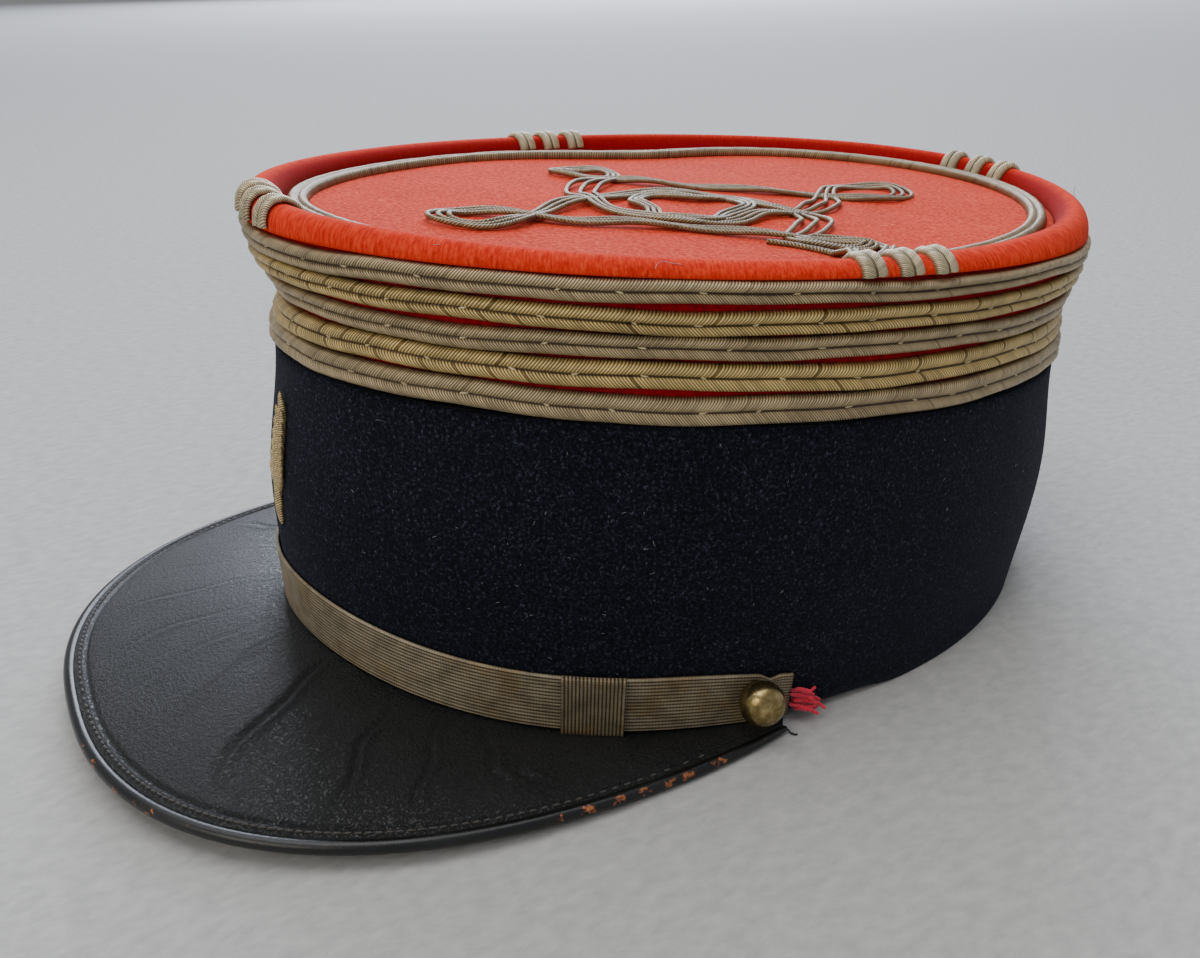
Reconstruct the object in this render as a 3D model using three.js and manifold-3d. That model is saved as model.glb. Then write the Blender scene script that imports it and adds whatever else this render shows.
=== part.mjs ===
// A kepi: a stiff cloth cap with a straight band, a low crown, a flat recessed top and a leather peak.
// Millimetres. The peak points to -Y, the wearer's left is +X and +Z is up. The cap stands on its
// rear band edge and on the sides of the peak, and the origin is under the middle of its box.
import * as THREE from 'three';
import * as BufferGeometryUtils from 'three/addons/utils/BufferGeometryUtils.js';
import Module from 'manifold-3d';

const wasm = await Module();
wasm.setup();

// Driving dimensions.
const clothWall = 2;
const fitGap = 0.3;
const eggShape = 0.078; // how much narrower the oval is at the forehead than at its middle
const turnSteps = 64; // facets round a full ring

// The oval sections of the wall, from the band's lower edge to the rim. Every oval lies in a plane
// that runs straight from its front height to its back height.
const wallSections = [
  { name: 'bandEdge', halfLength: 100, halfWidth: 78, centreY: -4, front: 12.4, back: 0 },
  { name: 'bandMiddle', halfLength: 101.8, halfWidth: 80.8, centreY: -2, front: 44, back: 29 },
  { name: 'braidFoot', halfLength: 98.3, halfWidth: 79.4, centreY: 0, front: 75.6, back: 58.1 },
  { name: 'rim', halfLength: 104, halfWidth: 78, centreY: 3, front: 102.7, back: 84.3 },
];
const braidFoot = 2; // index of the section where cloth of the crown takes over from the band
const rim = 3;
const rimLean = { rise: 5, power: 1.3 }; // the soft crown stands higher on its right side

// The crown is drawn in between its ends, most at the front and a little towards the right.
const waist = {
  level: 2.44,
  spread: 0.2,
  all: 0.8,
  back: 1.4,
  front: 4.2,
  frontTurn: 335,
  frontSpread: 28,
};
const crownInset = 1.2; // how far the crown's cloth lies inside the face of the braids

// The band's lower edge stands on the table at the back and on the peak in front.
const bandEdge = { overPeak: 1.6, foreheadRise: 12, power: 3.8, restFrom: 98, liftedFrom: 90 };

const peak = {
  halfWidth: 82.3,
  centreY: -51,
  reach: 103,
  roundness: 2.41,
  endTurn: 101.5,
  bandTurn: 80,
  thickness: 1.2,
  edgeHeight: 1.7, // the binding's lower face just meets the table
  tipRise: 4.6,
  crown: 0.05,
  steps: 44,
};
const binding = { radius: 1.7, sides: 8 };

// Five flat braids round the crown. Foot and head are shares of the crown's height.
const crownBraids = [
  { name: 'crown_braid_5', foot: 0, head: 0.187, metal: 'silver' },
  { name: 'crown_braid_4', foot: 0.233, head: 0.4, metal: 'gold' },
  { name: 'crown_braid_3', foot: 0.437, head: 0.6, metal: 'silver' },
  { name: 'crown_braid_2', foot: 0.629, head: 0.777, metal: 'gold' },
  { name: 'crown_braid_1', foot: 0.827, head: 0.985, metal: 'silver' },
];
const braidDepth = 1.8;
const braidGap = 0.6; // clears the crown wall's facets

// The crest of the padded edge lies almost in a plane, and the flat top lies below it.
const crest = { middle: 100.4, alongSlope: -0.069, acrossSlope: -0.033, saddle: 1.1 };
const recess = 4.5;
const roll = { middle: -3.9, halfWidth: 3.8, foot: 0.9, steps: 6 };
const topBraid = { outer: -9.1, width: 4.6, height: 1.9 };
// The border braid wanders inward on the right side, behind the three bars.
const borderWave = { turn: 258, spread: 15, depth: 6 };

// Three bars of braid cross the padded edge at each side. Angles turn from the front to the left.
const rimTies = [
  { side: 'front', angles: [353.2, 0, 6.8] },
  { side: 'left', angles: [84.6, 89.3, 94] },
  { side: 'back', angles: [173.4, 180, 186.6] },
  { side: 'right', angles: [266, 270.7, 275.4] },
];
const tie = { width: 4.8, thickness: 1.5, from: 0.12, to: 0.8, steps: 6 };

const strap = { foot: 0.2, head: 14, thickness: 1, endTurn: 80.6, steps: 44 };
const slide = { turn: 55.8, halfTurn: 3.7, over: 0.9, thickness: 0.9, steps: 4 };
const button = {
  turn: 75.5,
  height: 8, // above the band's lower edge
  radius: 4.9,
  rise: 8,
  neckRadius: 3,
  neckRise: 0.8,
  middleRise: 4.1, // where the ball is widest
  tuck: 0.9, // radians that the ball turns under its widest place
  domeSteps: 8,
  spokes: 16,
};
const sprig = { foot: 38, back: 0.8, thickness: 1.5 };

// The interlaced knot on the top: four drop-shaped loops, the arms between them and a small rosette.
const knot = {
  centreX: 5,
  centreY: 1,
  lengthScale: 1.03,
  widthScale: 0.74,
  skew: 0.21, // the cross loops are turned a little from square
  ribbon: 5,
  height: 1.5,
  dropFrom: 41,
  dropTip: 65,
  dropHalfWidth: 9,
  armWaist: 26,
  rosetteReach: 20,
  rosetteLoop: 14,
};

const finishes = {
  bandCloth: { color: '#15161f', roughness: 0.95, metalness: 0 },
  crownCloth: { color: '#b3261b', roughness: 0.95, metalness: 0 },
  leather: { color: '#121314', roughness: 0.42, metalness: 0 },
  silver: { color: '#8d8478', roughness: 0.5, metalness: 0.7 },
  gold: { color: '#9c8455', roughness: 0.48, metalness: 0.75 },
  lace: { color: '#7d705f', roughness: 0.5, metalness: 0.6 },
  brass: { color: '#77603c', roughness: 0.35, metalness: 0.9 },
};

const radians = THREE.MathUtils.degToRad;
const cap = new THREE.Group();

function addPart(name, geometry, finish) {
  const mesh = new THREE.Mesh(geometry, new THREE.MeshStandardMaterial(finishes[finish]));
  mesh.name = name;
  cap.add(mesh);
  return mesh;
}

// Height of the band's lower edge, at a turn in radians from the front.
function bandEdgeHeight(turn) {
  const away = THREE.MathUtils.radToDeg(Math.acos(Math.cos(turn)));
  const lifted = 1 - THREE.MathUtils.smoothstep(away, bandEdge.liftedFrom, bandEdge.restFrom);
  const forward = Math.max(Math.cos(turn), 0);
  return bandEdge.overPeak * lifted + bandEdge.foreheadRise * forward ** bandEdge.power;
}

function ovalPoint(section, turn) {
  const narrowing = 1 - eggShape * Math.cos(turn);
  const x = section.halfWidth * Math.sin(turn) * narrowing;
  const y = section.centreY - section.halfLength * Math.cos(turn);
  const backShare = (1 - Math.cos(turn)) / 2;
  const lean = section === wallSections[rim] ? rimLean.rise : 0;
  const rightShare = Math.max(-Math.sin(turn), 0) ** rimLean.power;
  const z = THREE.MathUtils.lerp(section.front, section.back, backShare) + lean * rightShare;
  return new THREE.Vector3(x, y, z);
}

// Level direction straight out of the wall.
function outward(section, turn) {
  const step = 0.001;
  const ahead = ovalPoint(section, turn + step);
  const behind = ovalPoint(section, turn - step);
  return new THREE.Vector3(ahead.y - behind.y, behind.x - ahead.x, 0).normalize();
}

function bump(value, middle, spread) {
  return Math.exp(-(((value - middle) / spread) ** 2));
}

// How far the crown is drawn in at a level.
function waistDepth(turn, level) {
  const degrees = THREE.MathUtils.euclideanModulo(THREE.MathUtils.radToDeg(turn), 360);
  const front = waist.front * bump(degrees, waist.frontTurn, waist.frontSpread);
  const wrapped = waist.front * bump(degrees + 360, waist.frontTurn, waist.frontSpread);
  const back = waist.back * Math.max(-Math.cos(turn), 0);
  return (waist.all + back + front + wrapped) * bump(level, waist.level, waist.spread);
}

// A point on the wall: level 0 to 3 runs through the sections, offset is level and outward.
function wallPoint(turn, level, offset) {
  const column = wallSections.map((section) => ovalPoint(section, turn));
  column[0].z = bandEdgeHeight(turn);
  const curve = new THREE.CatmullRomCurve3(column);
  const nearest = wallSections[Math.round(level)];
  const out = offset - waistDepth(turn, level);
  return curve.getPoint(level / rim).addScaledVector(outward(nearest, turn), out);
}

// The level that lies a given height above the band's lower edge.
function levelAtHeight(turn, height) {
  const foot = wallPoint(turn, 0, 0).z;
  return height / (wallPoint(turn, 1, 0).z - foot);
}

// Height of the surface that the crest of the padded edge lies in.
function crestHeight(x, y) {
  const edge = wallSections[rim];
  const along = (y - edge.centreY) / edge.halfLength;
  const saddle = crest.saddle * (along ** 2 - (x / edge.halfWidth) ** 2);
  return crest.middle + crest.alongSlope * y + crest.acrossSlope * x + saddle;
}

function plateHeight(x, y) {
  return crestHeight(x, y) - recess;
}

// A point of the rim's oval moved level and outward, at the rim's own height.
function rimPoint(turn, offset) {
  const edge = wallSections[rim];
  return ovalPoint(edge, turn).addScaledVector(outward(edge, turn), offset);
}

// A point over the flat top: offset is level from the rim, lift is straight up from the top.
function topPoint(turn, offset, lift) {
  const point = rimPoint(turn, offset);
  return point.setZ(plateHeight(point.x, point.y) + lift);
}

// Turns a grid of points, one row for each section, into a closed solid. Rows join end to end when
// ring is set, and are closed with flat ends when it isn't.
function loftSolid(rows, ring) {
  const count = rows[0].length;
  const positions = rows.flat().flatMap((point) => [point.x, point.y, point.z]);
  const index = [];
  const spans = ring ? rows.length : rows.length - 1;
  for (let row = 0; row < spans; row += 1) {
    const here = row * count;
    const next = ((row + 1) % rows.length) * count;
    for (let column = 0; column < count; column += 1) {
      const right = (column + 1) % count;
      index.push(here + column, next + column, next + right);
      index.push(here + column, next + right, here + right);
    }
  }
  if (!ring) {
    const last = (rows.length - 1) * count;
    for (let column = 1; column < count - 1; column += 1) {
      index.push(0, column, column + 1);
      index.push(last, last + column + 1, last + column);
    }
  }
  const geometry = new THREE.BufferGeometry();
  geometry.setAttribute('position', new THREE.Float32BufferAttribute(positions, 3));
  geometry.setIndex(index);
  return faceOut(geometry);
}

// Reverses the triangles of a closed shape whose faces point in.
function faceOut(geometry) {
  const place = geometry.getAttribute('position');
  const index = geometry.getIndex();
  const corners = [new THREE.Vector3(), new THREE.Vector3(), new THREE.Vector3()];
  let volume = 0;
  for (let face = 0; face < index.count; face += 3) {
    corners.forEach((corner, side) => corner.fromBufferAttribute(place, index.getX(face + side)));
    volume += corners[0].dot(corners[1].clone().cross(corners[2]));
  }
  if (volume < 0) {
    geometry.setIndex(Array.from(index.array).reverse());
  }
  geometry.computeVertexNormals();
  return geometry;
}

function ringTurns(steps) {
  return Array.from({ length: steps }, (_, step) => (step / steps) * 2 * Math.PI);
}

function spanTurns(from, to, steps) {
  return Array.from({ length: steps + 1 }, (_, step) => radians(from + ((to - from) * step) / steps));
}

// A closed wall ring between two levels, as thick as the cloth.
function wallRing(fromLevel, toLevel, rows, outside) {
  const levels = Array.from({ length: rows + 1 }, (_, row) => {
    return fromLevel + ((toLevel - fromLevel) * row) / rows;
  });
  const section = [
    ...levels.map((level) => ({ level, offset: outside })),
    ...levels.toReversed().map((level) => ({ level, offset: outside - clothWall })),
  ];
  const grid = ringTurns(turnSteps).map((turn) => {
    return section.map(({ level, offset }) => wallPoint(turn, level, offset));
  });
  return loftSolid(grid, true);
}

// Band and crown wall, which meet behind the lowest braid.
const meetingGap = 0.01;
addPart('band', wallRing(0, braidFoot - meetingGap, 4, 0), 'bandCloth');
addPart('crown_wall', wallRing(braidFoot + meetingGap, rim, 5, -crownInset), 'crownCloth');

// The flat top lies inside the padded edge.
function topPlate() {
  const edgeOffset = roll.middle - roll.halfWidth - fitGap;
  const turns = ringTurns(turnSteps);
  const rings = [1, 0.5];
  const middle = new THREE.Vector3(0, wallSections[rim].centreY, 0);
  middle.setZ(plateHeight(middle.x, middle.y));
  const upper = rings.flatMap((share) => turns.map((turn) => {
    const point = middle.clone().lerp(topPoint(turn, edgeOffset, 0), share);
    return point.setZ(plateHeight(point.x, point.y));
  }));
  const top = [...upper, middle];
  const points = [...top, ...top.map((point) => point.clone().setZ(point.z - clothWall))];
  const index = [];
  for (let here = 0; here < turnSteps; here += 1) {
    const next = (here + 1) % turnSteps;
    const faces = [
      [here, next, turnSteps + next],
      [here, turnSteps + next, turnSteps + here],
      [turnSteps + here, turnSteps + next, 2 * turnSteps],
    ];
    faces.forEach(([first, second, third]) => {
      index.push(first, second, third);
      index.push(top.length + first, top.length + third, top.length + second);
    });
    index.push(here, top.length + here, top.length + next);
    index.push(here, top.length + next, next);
  }
  const geometry = new THREE.BufferGeometry().setFromPoints(points);
  geometry.setIndex(index);
  return faceOut(geometry);
}
addPart('top_plate', topPlate(), 'crownCloth');

// The padded edge. Share runs from its outer foot, 0, over the crest to its inner foot, 1.
function rollPoint(turn, share, swell) {
  const angle = share * Math.PI;
  const point = rimPoint(turn, roll.middle + (roll.halfWidth + swell) * Math.cos(angle));
  const outerFoot = rimPoint(turn, 0).z + fitGap;
  const foot = THREE.MathUtils.lerp(outerFoot, plateHeight(point.x, point.y), share);
  const rise = Math.sin(angle) ** roll.foot;
  const height = THREE.MathUtils.lerp(foot, crestHeight(point.x, point.y), rise);
  return point.setZ(height + swell * Math.sin(angle));
}

function rimRoll() {
  const shares = Array.from({ length: roll.steps + 1 }, (_, step) => step / roll.steps);
  const grid = ringTurns(turnSteps).map((turn) => {
    const section = shares.map((share) => rollPoint(turn, share, 0));
    const innerFoot = section.at(-1).clone();
    innerFoot.z -= clothWall;
    const seat = rimPoint(turn, -crownInset - clothWall - 2 * fitGap); // just inside the wall's top
    seat.z += fitGap;
    return [...section, innerFoot, seat];
  });
  return loftSolid(grid, true);
}
addPart('rim_roll', rimRoll(), 'crownCloth');

// Braids round the crown: a shallow profile with two ridges, drawn here as one flat-topped band.
function crownBraid({ foot, head }) {
  const height = head - foot;
  const shoulder = 0.22;
  const inside = braidGap - crownInset;
  const outside = inside + braidDepth;
  const section = [
    { level: braidFoot + foot, offset: inside },
    { level: braidFoot + foot + shoulder * height, offset: outside },
    { level: braidFoot + head - shoulder * height, offset: outside },
    { level: braidFoot + head, offset: inside },
  ];
  const grid = ringTurns(turnSteps).map((turn) => {
    return section.map(({ level, offset }) => wallPoint(turn, level, offset));
  });
  return loftSolid(grid, true);
}
crownBraids.forEach((braid) => addPart(braid.name, crownBraid(braid), braid.metal));

// The braid that borders the flat top.
function topBorder() {
  const inner = topBraid.outer - topBraid.width;
  const shoulder = 0.9;
  const section = [
    { offset: topBraid.outer, lift: fitGap },
    { offset: topBraid.outer - shoulder, lift: fitGap + topBraid.height },
    { offset: inner + shoulder, lift: fitGap + topBraid.height },
    { offset: inner, lift: fitGap },
  ];
  const grid = ringTurns(turnSteps).map((turn) => {
    const degrees = THREE.MathUtils.radToDeg(turn);
    const inward = borderWave.depth * bump(degrees, borderWave.turn, borderWave.spread);
    return section.map(({ offset, lift }) => topPoint(turn, offset - inward, lift));
  });
  return loftSolid(grid, true);
}
addPart('top_border_braid', topBorder(), 'silver');

// One bar of braid over the padded edge: a bent strip of even thickness.
function rimTie(angle) {
  const turn = radians(angle);
  const facing = outward(wallSections[rim], turn);
  const along = new THREE.Vector3(-facing.y, facing.x, 0);
  const grid = Array.from({ length: tie.steps + 1 }, (_, step) => {
    const share = tie.from + ((tie.to - tie.from) * step) / tie.steps;
    const face = rollPoint(turn, share, 2 * fitGap + tie.thickness);
    const back = rollPoint(turn, share, 2 * fitGap);
    const corners = [
      { place: face, side: -0.5 },
      { place: face, side: 0.5 },
      { place: back, side: 0.5 },
      { place: back, side: -0.5 },
    ];
    return corners.map(({ place, side }) => {
      return place.clone().addScaledVector(along, side * tie.width);
    });
  });
  return loftSolid(grid, false);
}

rimTies.forEach(({ side, angles }) => {
  angles.forEach((angle, place) => {
    addPart(`rim_tie_${side}_${place + 1}`, rimTie(angle), 'silver');
  });
});

// The peak's outline, at a turn in degrees from its tip. Its sides rest on the table.
function peakOutline(turnDegrees, inset) {
  const turn = radians(turnDegrees);
  const bend = (value) => Math.sign(value) * Math.abs(value) ** (2 / peak.roundness);
  const x = (peak.halfWidth - inset) * bend(Math.sin(turn));
  const y = peak.centreY - (peak.reach - inset) * bend(Math.cos(turn));
  const forward = THREE.MathUtils.clamp((peak.centreY - y) / peak.reach, 0, 1);
  return new THREE.Vector3(x, y, peak.edgeHeight + peak.tipRise * forward);
}

// The leather sheet runs from under the band out to its bound edge, slightly arched.
function peakSheet() {
  const sheetInset = binding.radius + fitGap;
  const stations = Array.from({ length: peak.steps + 1 }, (_, step) => (2 * step) / peak.steps - 1);
  const shares = [0, 0.33, 0.67, 1];
  const grid = stations.map((station) => {
    const turn = radians(station * peak.bandTurn);
    const top = bandEdgeHeight(turn) - fitGap;
    const inner = wallPoint(turn, 0, -clothWall).setZ(top);
    const seam = wallPoint(turn, 0, fitGap).setZ(top);
    const edge = peakOutline(station * peak.endTurn, sheetInset);
    edge.z += peak.thickness / 2;
    const arch = peak.crown * seam.distanceTo(edge);
    const upper = [inner];
    shares.forEach((share) => {
      const point = seam.clone().lerp(edge, share);
      point.z += arch * 4 * share * (1 - share);
      upper.push(point);
    });
    const lower = upper.map((point) => point.clone().setZ(point.z - peak.thickness));
    return [...upper, ...lower.reverse()];
  });
  return loftSolid(grid, false);
}
addPart('peak', peakSheet(), 'leather');

// The rolled leather edge of the peak.
function peakBinding() {
  const stations = Array.from({ length: peak.steps + 1 }, (_, step) => {
    return peakOutline(((2 * step) / peak.steps - 1) * peak.endTurn, 0);
  });
  const grid = stations.map((centre, step) => {
    const ahead = stations[Math.min(step + 1, peak.steps)];
    const behind = stations[Math.max(step - 1, 0)];
    const sideways = new THREE.Vector3(ahead.y - behind.y, behind.x - ahead.x, 0).normalize();
    return ringTurns(binding.sides).map((turn) => {
      const point = centre.clone().addScaledVector(sideways, binding.radius * Math.cos(turn));
      point.z += binding.radius * Math.sin(turn);
      return point;
    });
  });
  return loftSolid(grid, false);
}
addPart('peak_binding', peakBinding(), 'leather');

// A flat strip that follows the band's lower edge.
function bandStrip(fromTurn, toTurn, steps, foot, head, inside, outside) {
  const grid = spanTurns(fromTurn, toTurn, steps).map((turn) => {
    const low = levelAtHeight(turn, foot);
    const high = levelAtHeight(turn, head);
    return [
      wallPoint(turn, low, inside),
      wallPoint(turn, high, inside),
      wallPoint(turn, high, outside),
      wallPoint(turn, low, outside),
    ];
  });
  return loftSolid(grid, false);
}

// The lace strap over the peak, its two slides and the two buttons that hold its ends.
const strapFace = fitGap + strap.thickness;
addPart(
  'chin_strap',
  bandStrip(-strap.endTurn, strap.endTurn, strap.steps, strap.foot, strap.head, fitGap, strapFace),
  'lace',
);

const sides = [
  { side: 'left', sign: 1 },
  { side: 'right', sign: -1 },
];
sides.forEach(({ side, sign }) => {
  const inside = strapFace + fitGap;
  const from = sign * (slide.turn - slide.halfTurn);
  const to = sign * (slide.turn + slide.halfTurn);
  const foot = strap.foot;
  const head = strap.head + slide.over;
  const strip = bandStrip(from, to, slide.steps, foot, head, inside, inside + slide.thickness);
  addPart(`strap_slide_${side}`, strip, 'lace');
});

function buttonShape() {
  const { radius, rise, neckRadius, neckRise, middleRise, tuck, domeSteps } = button;
  const profile = [
    new THREE.Vector2(0, 0),
    new THREE.Vector2(neckRadius, 0),
    new THREE.Vector2(neckRadius, neckRise),
  ];
  for (let step = 0; step <= domeSteps; step += 1) {
    const angle = -tuck + (step / domeSteps) * (Math.PI / 2 + tuck);
    const height = middleRise + (rise - middleRise) * Math.sin(angle);
    const width = step === domeSteps ? 0 : radius * Math.cos(angle);
    profile.push(new THREE.Vector2(width, height));
  }
  const shape = new THREE.LatheGeometry(profile, button.spokes);
  return shape.rotateX(Math.PI / 2);
}

sides.forEach(({ side, sign }) => {
  const turn = radians(sign * button.turn);
  const level = levelAtHeight(turn, button.height);
  const mesh = addPart(`strap_button_${side}`, buttonShape(), 'brass');
  mesh.position.copy(wallPoint(turn, level, strapFace + fitGap));
  const facing = outward(wallSections[0], turn);
  mesh.lookAt(mesh.position.clone().add(facing));
});

// The embroidered sprig on the front of the band: a long leaf, two short ones and a tied foot.
function leafShape(length, halfWidth) {
  const shape = new THREE.Shape();
  shape.moveTo(0, 0);
  shape.bezierCurveTo(halfWidth * 1.2, length * 0.2, halfWidth * 1.1, length * 0.7, 0, length);
  shape.bezierCurveTo(-halfWidth * 1.1, length * 0.7, -halfWidth * 1.2, length * 0.2, 0, 0);
  return shape;
}

function toManifold(geometry) {
  const bare = geometry.clone();
  bare.deleteAttribute('normal');
  bare.deleteAttribute('uv');
  const merged = BufferGeometryUtils.mergeVertices(bare, 1e-4);
  const mesh = new wasm.Mesh({
    numProp: 3,
    vertProperties: new Float32Array(merged.getAttribute('position').array),
    triVerts: new Uint32Array(merged.getIndex().array),
  });
  mesh.merge();
  return new wasm.Manifold(mesh);
}

function fromManifold(solid) {
  const mesh = solid.getMesh();
  const geometry = new THREE.BufferGeometry();
  geometry.setAttribute('position', new THREE.BufferAttribute(mesh.vertProperties, 3));
  geometry.setIndex(new THREE.BufferAttribute(mesh.triVerts, 1));
  geometry.computeVertexNormals();
  return geometry;
}

function joined(geometries) {
  return geometries.map(toManifold).reduce((whole, piece) => whole.add(piece));
}

function frontSprig() {
  const settings = { depth: sprig.thickness, bevelEnabled: false, curveSegments: 5 };
  const leaves = [
    { length: 22, halfWidth: 3.1, lean: 0, foot: 6 },
    { length: 13, halfWidth: 2.2, lean: 34, foot: 6 },
    { length: 13, halfWidth: 2.2, lean: -34, foot: 6 },
    { length: 7.5, halfWidth: 1.7, lean: 158, foot: 8 },
    { length: 7.5, halfWidth: 1.7, lean: -158, foot: 8 },
  ];
  const pieces = leaves.map(({ length, halfWidth, lean, foot }) => {
    const leaf = new THREE.ExtrudeGeometry(leafShape(length, halfWidth), settings);
    return leaf.rotateZ(radians(lean)).translate(0, foot, 0);
  });
  pieces.push(new THREE.BoxGeometry(3.4, 2.4, sprig.thickness).translate(0, 7, sprig.thickness / 2));
  return fromManifold(joined(pieces));
}

const sprigMesh = addPart('front_sprig', frontSprig(), 'gold');
const sprigLevel = levelAtHeight(0, sprig.foot - bandEdgeHeight(0));
const sprigFoot = wallPoint(0, sprigLevel, sprig.back);
const sprigHead = wallPoint(0, sprigLevel + 0.75, sprig.back);
sprigMesh.position.copy(sprigFoot);
const sprigLean = Math.atan2(sprigFoot.y - sprigHead.y, sprigHead.z - sprigFoot.z);
sprigMesh.rotation.set(Math.PI / 2 + sprigLean, 0, 0);

// Ribbons of the knot, as open strips along their middle lines.
function ribbonStrip(points) {
  const half = knot.ribbon / 2;
  const left = [];
  const right = [];
  points.forEach((point, place) => {
    const ahead = points[Math.min(place + 1, points.length - 1)];
    const behind = points[Math.max(place - 1, 0)];
    const side = new THREE.Vector2(behind.y - ahead.y, ahead.x - behind.x).normalize();
    left.push(point.clone().addScaledVector(side, half));
    right.push(point.clone().addScaledVector(side, -half));
  });
  const outline = new THREE.Shape([...left, ...right.reverse()]);
  return new THREE.ExtrudeGeometry(outline, { depth: knot.height, bevelEnabled: false });
}

function turned(point, quarter) {
  return point.clone().rotateAround(new THREE.Vector2(0, 0), (quarter * Math.PI) / 2);
}

function knotRibbons() {
  const { dropFrom, dropTip, dropHalfWidth, armWaist } = knot;
  const dropMiddle = (dropFrom + dropTip) / 2;
  const corner = armWaist * Math.SQRT1_2;
  const drop = new THREE.SplineCurve([
    new THREE.Vector2(dropFrom - 3, 2),
    new THREE.Vector2(dropMiddle - 3, -dropHalfWidth * 0.8),
    new THREE.Vector2(dropMiddle + 6, -dropHalfWidth * 0.85),
    new THREE.Vector2(dropTip, 0),
    new THREE.Vector2(dropMiddle + 6, dropHalfWidth * 0.85),
    new THREE.Vector2(dropMiddle - 3, dropHalfWidth * 0.8),
    new THREE.Vector2(dropFrom - 3, -2),
  ]);
  const arm = new THREE.SplineCurve([
    new THREE.Vector2(dropFrom, 1),
    new THREE.Vector2(dropFrom - 9, 8),
    new THREE.Vector2(corner, corner),
    new THREE.Vector2(8, dropFrom - 9),
    new THREE.Vector2(1, dropFrom),
  ]);
  const petal = Array.from({ length: 13 }, (_, step) => {
    const turn = radians(-45 + 7.5 * step);
    const x = knot.rosetteReach * Math.cos(turn) + knot.rosetteLoop * Math.cos(3 * turn);
    const y = knot.rosetteReach * Math.sin(turn) - knot.rosetteLoop * Math.sin(3 * turn);
    return new THREE.Vector2(x, y);
  });
  const ribbons = [];
  for (let quarter = 0; quarter < 4; quarter += 1) {
    const lines = [drop.getPoints(14), arm.getPoints(8), petal.slice(0, 7), petal.slice(6)];
    lines.forEach((line) => ribbons.push(ribbonStrip(line.map((point) => turned(point, quarter)))));
  }
  return fromManifold(joined(ribbons));
}

// The flat knot is laid on the top, which is a little curved.
function topKnot() {
  const geometry = knotRibbons();
  const place = geometry.getAttribute('position');
  for (let corner = 0; corner < place.count; corner += 1) {
    const x = knot.centreX + knot.widthScale * place.getX(corner);
    const y = knot.centreY + knot.lengthScale * place.getY(corner) + knot.skew * place.getX(corner);
    place.setXYZ(corner, x, y, plateHeight(x, y) + fitGap + place.getZ(corner));
  }
  geometry.computeVertexNormals();
  return geometry;
}
addPart('top_knot', topKnot(), 'silver');

// Stand the cap with the origin under the middle of its box.
const bounds = new THREE.Box3().setFromObject(cap, true);
const centre = bounds.getCenter(new THREE.Vector3());
cap.position.set(-centre.x, -centre.y, -bounds.min.z);

export default cap;
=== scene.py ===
import bpy
import math
import random
import numpy as np
from mathutils import Matrix, Vector


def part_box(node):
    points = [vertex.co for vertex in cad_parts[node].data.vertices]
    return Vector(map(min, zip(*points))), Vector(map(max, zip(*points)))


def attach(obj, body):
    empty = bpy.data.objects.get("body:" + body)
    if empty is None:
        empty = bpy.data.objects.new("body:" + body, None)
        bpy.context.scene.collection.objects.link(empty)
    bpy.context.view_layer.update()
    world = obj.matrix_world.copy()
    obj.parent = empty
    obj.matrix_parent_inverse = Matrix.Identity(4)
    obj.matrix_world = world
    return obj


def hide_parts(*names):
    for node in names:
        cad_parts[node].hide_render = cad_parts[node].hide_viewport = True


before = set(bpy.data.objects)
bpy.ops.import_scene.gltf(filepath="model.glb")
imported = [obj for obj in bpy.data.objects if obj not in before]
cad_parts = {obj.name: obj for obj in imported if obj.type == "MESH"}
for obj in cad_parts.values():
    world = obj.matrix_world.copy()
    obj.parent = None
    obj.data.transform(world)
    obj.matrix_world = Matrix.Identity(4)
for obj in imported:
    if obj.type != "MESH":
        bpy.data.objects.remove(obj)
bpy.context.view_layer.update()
mm = 0.001
random.seed(11)
noise = np.random.default_rng(11)
print("frame loaded")


def deselectAll():
    if bpy.context.object and bpy.context.object.mode != "OBJECT":
        bpy.ops.object.mode_set(mode="OBJECT")
    bpy.ops.object.select_all(action="DESELECT")


def named(name):
    piece = bpy.context.object
    piece.name = name
    piece.data.name = name
    return piece


def coordinates(piece):
    places = np.empty(len(piece.data.vertices) * 3)
    piece.data.vertices.foreach_get("co", places)
    return places.reshape(-1, 3)


def setCoordinates(piece, places):
    piece.data.vertices.foreach_set("co", np.ascontiguousarray(places, dtype=np.float32).ravel())
    piece.data.update()


def pointAttribute(piece, name, values):
    layer = piece.data.attributes.new(name, "FLOAT", "POINT")
    layer.data.foreach_set("value", np.ascontiguousarray(values, dtype=np.float32))


def smoothShade(piece):
    piece.data.polygons.foreach_set("use_smooth", [True] * len(piece.data.polygons))
    piece.data.update()


def threadMap(piece, along, across, alongFull=0, acrossFull=0):
    # a UV map in mm, along a run of threads and across it; a full length closes the run on itself
    corners = np.empty(len(piece.data.loops), dtype=np.int32)
    piece.data.loops.foreach_get("vertex_index", corners)
    starts = np.empty(len(piece.data.polygons), dtype=np.int32)
    piece.data.polygons.foreach_get("loop_start", starts)
    faceOf = np.searchsorted(starts, np.arange(len(corners)), side="right") - 1
    spots = np.stack([along[corners], across[corners]], -1)
    for axis, full in ((0, alongFull), (1, acrossFull)):
        if full:
            most = np.maximum.reduceat(spots[:, axis], starts)[faceOf]
            spots[:, axis] += np.where(most - spots[:, axis] > full / 2, full, 0)
    layer = piece.data.uv_layers.new(name="threads")
    layer.data.foreach_set("uv", spots.astype(np.float32).ravel())


def meshPiece(name, points, faces):
    mesh = bpy.data.meshes.new(name)
    mesh.from_pydata(points.tolist(), [], faces)
    piece = bpy.data.objects.new(name, mesh)
    bpy.context.collection.objects.link(piece)
    smoothShade(piece)
    return piece


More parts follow.
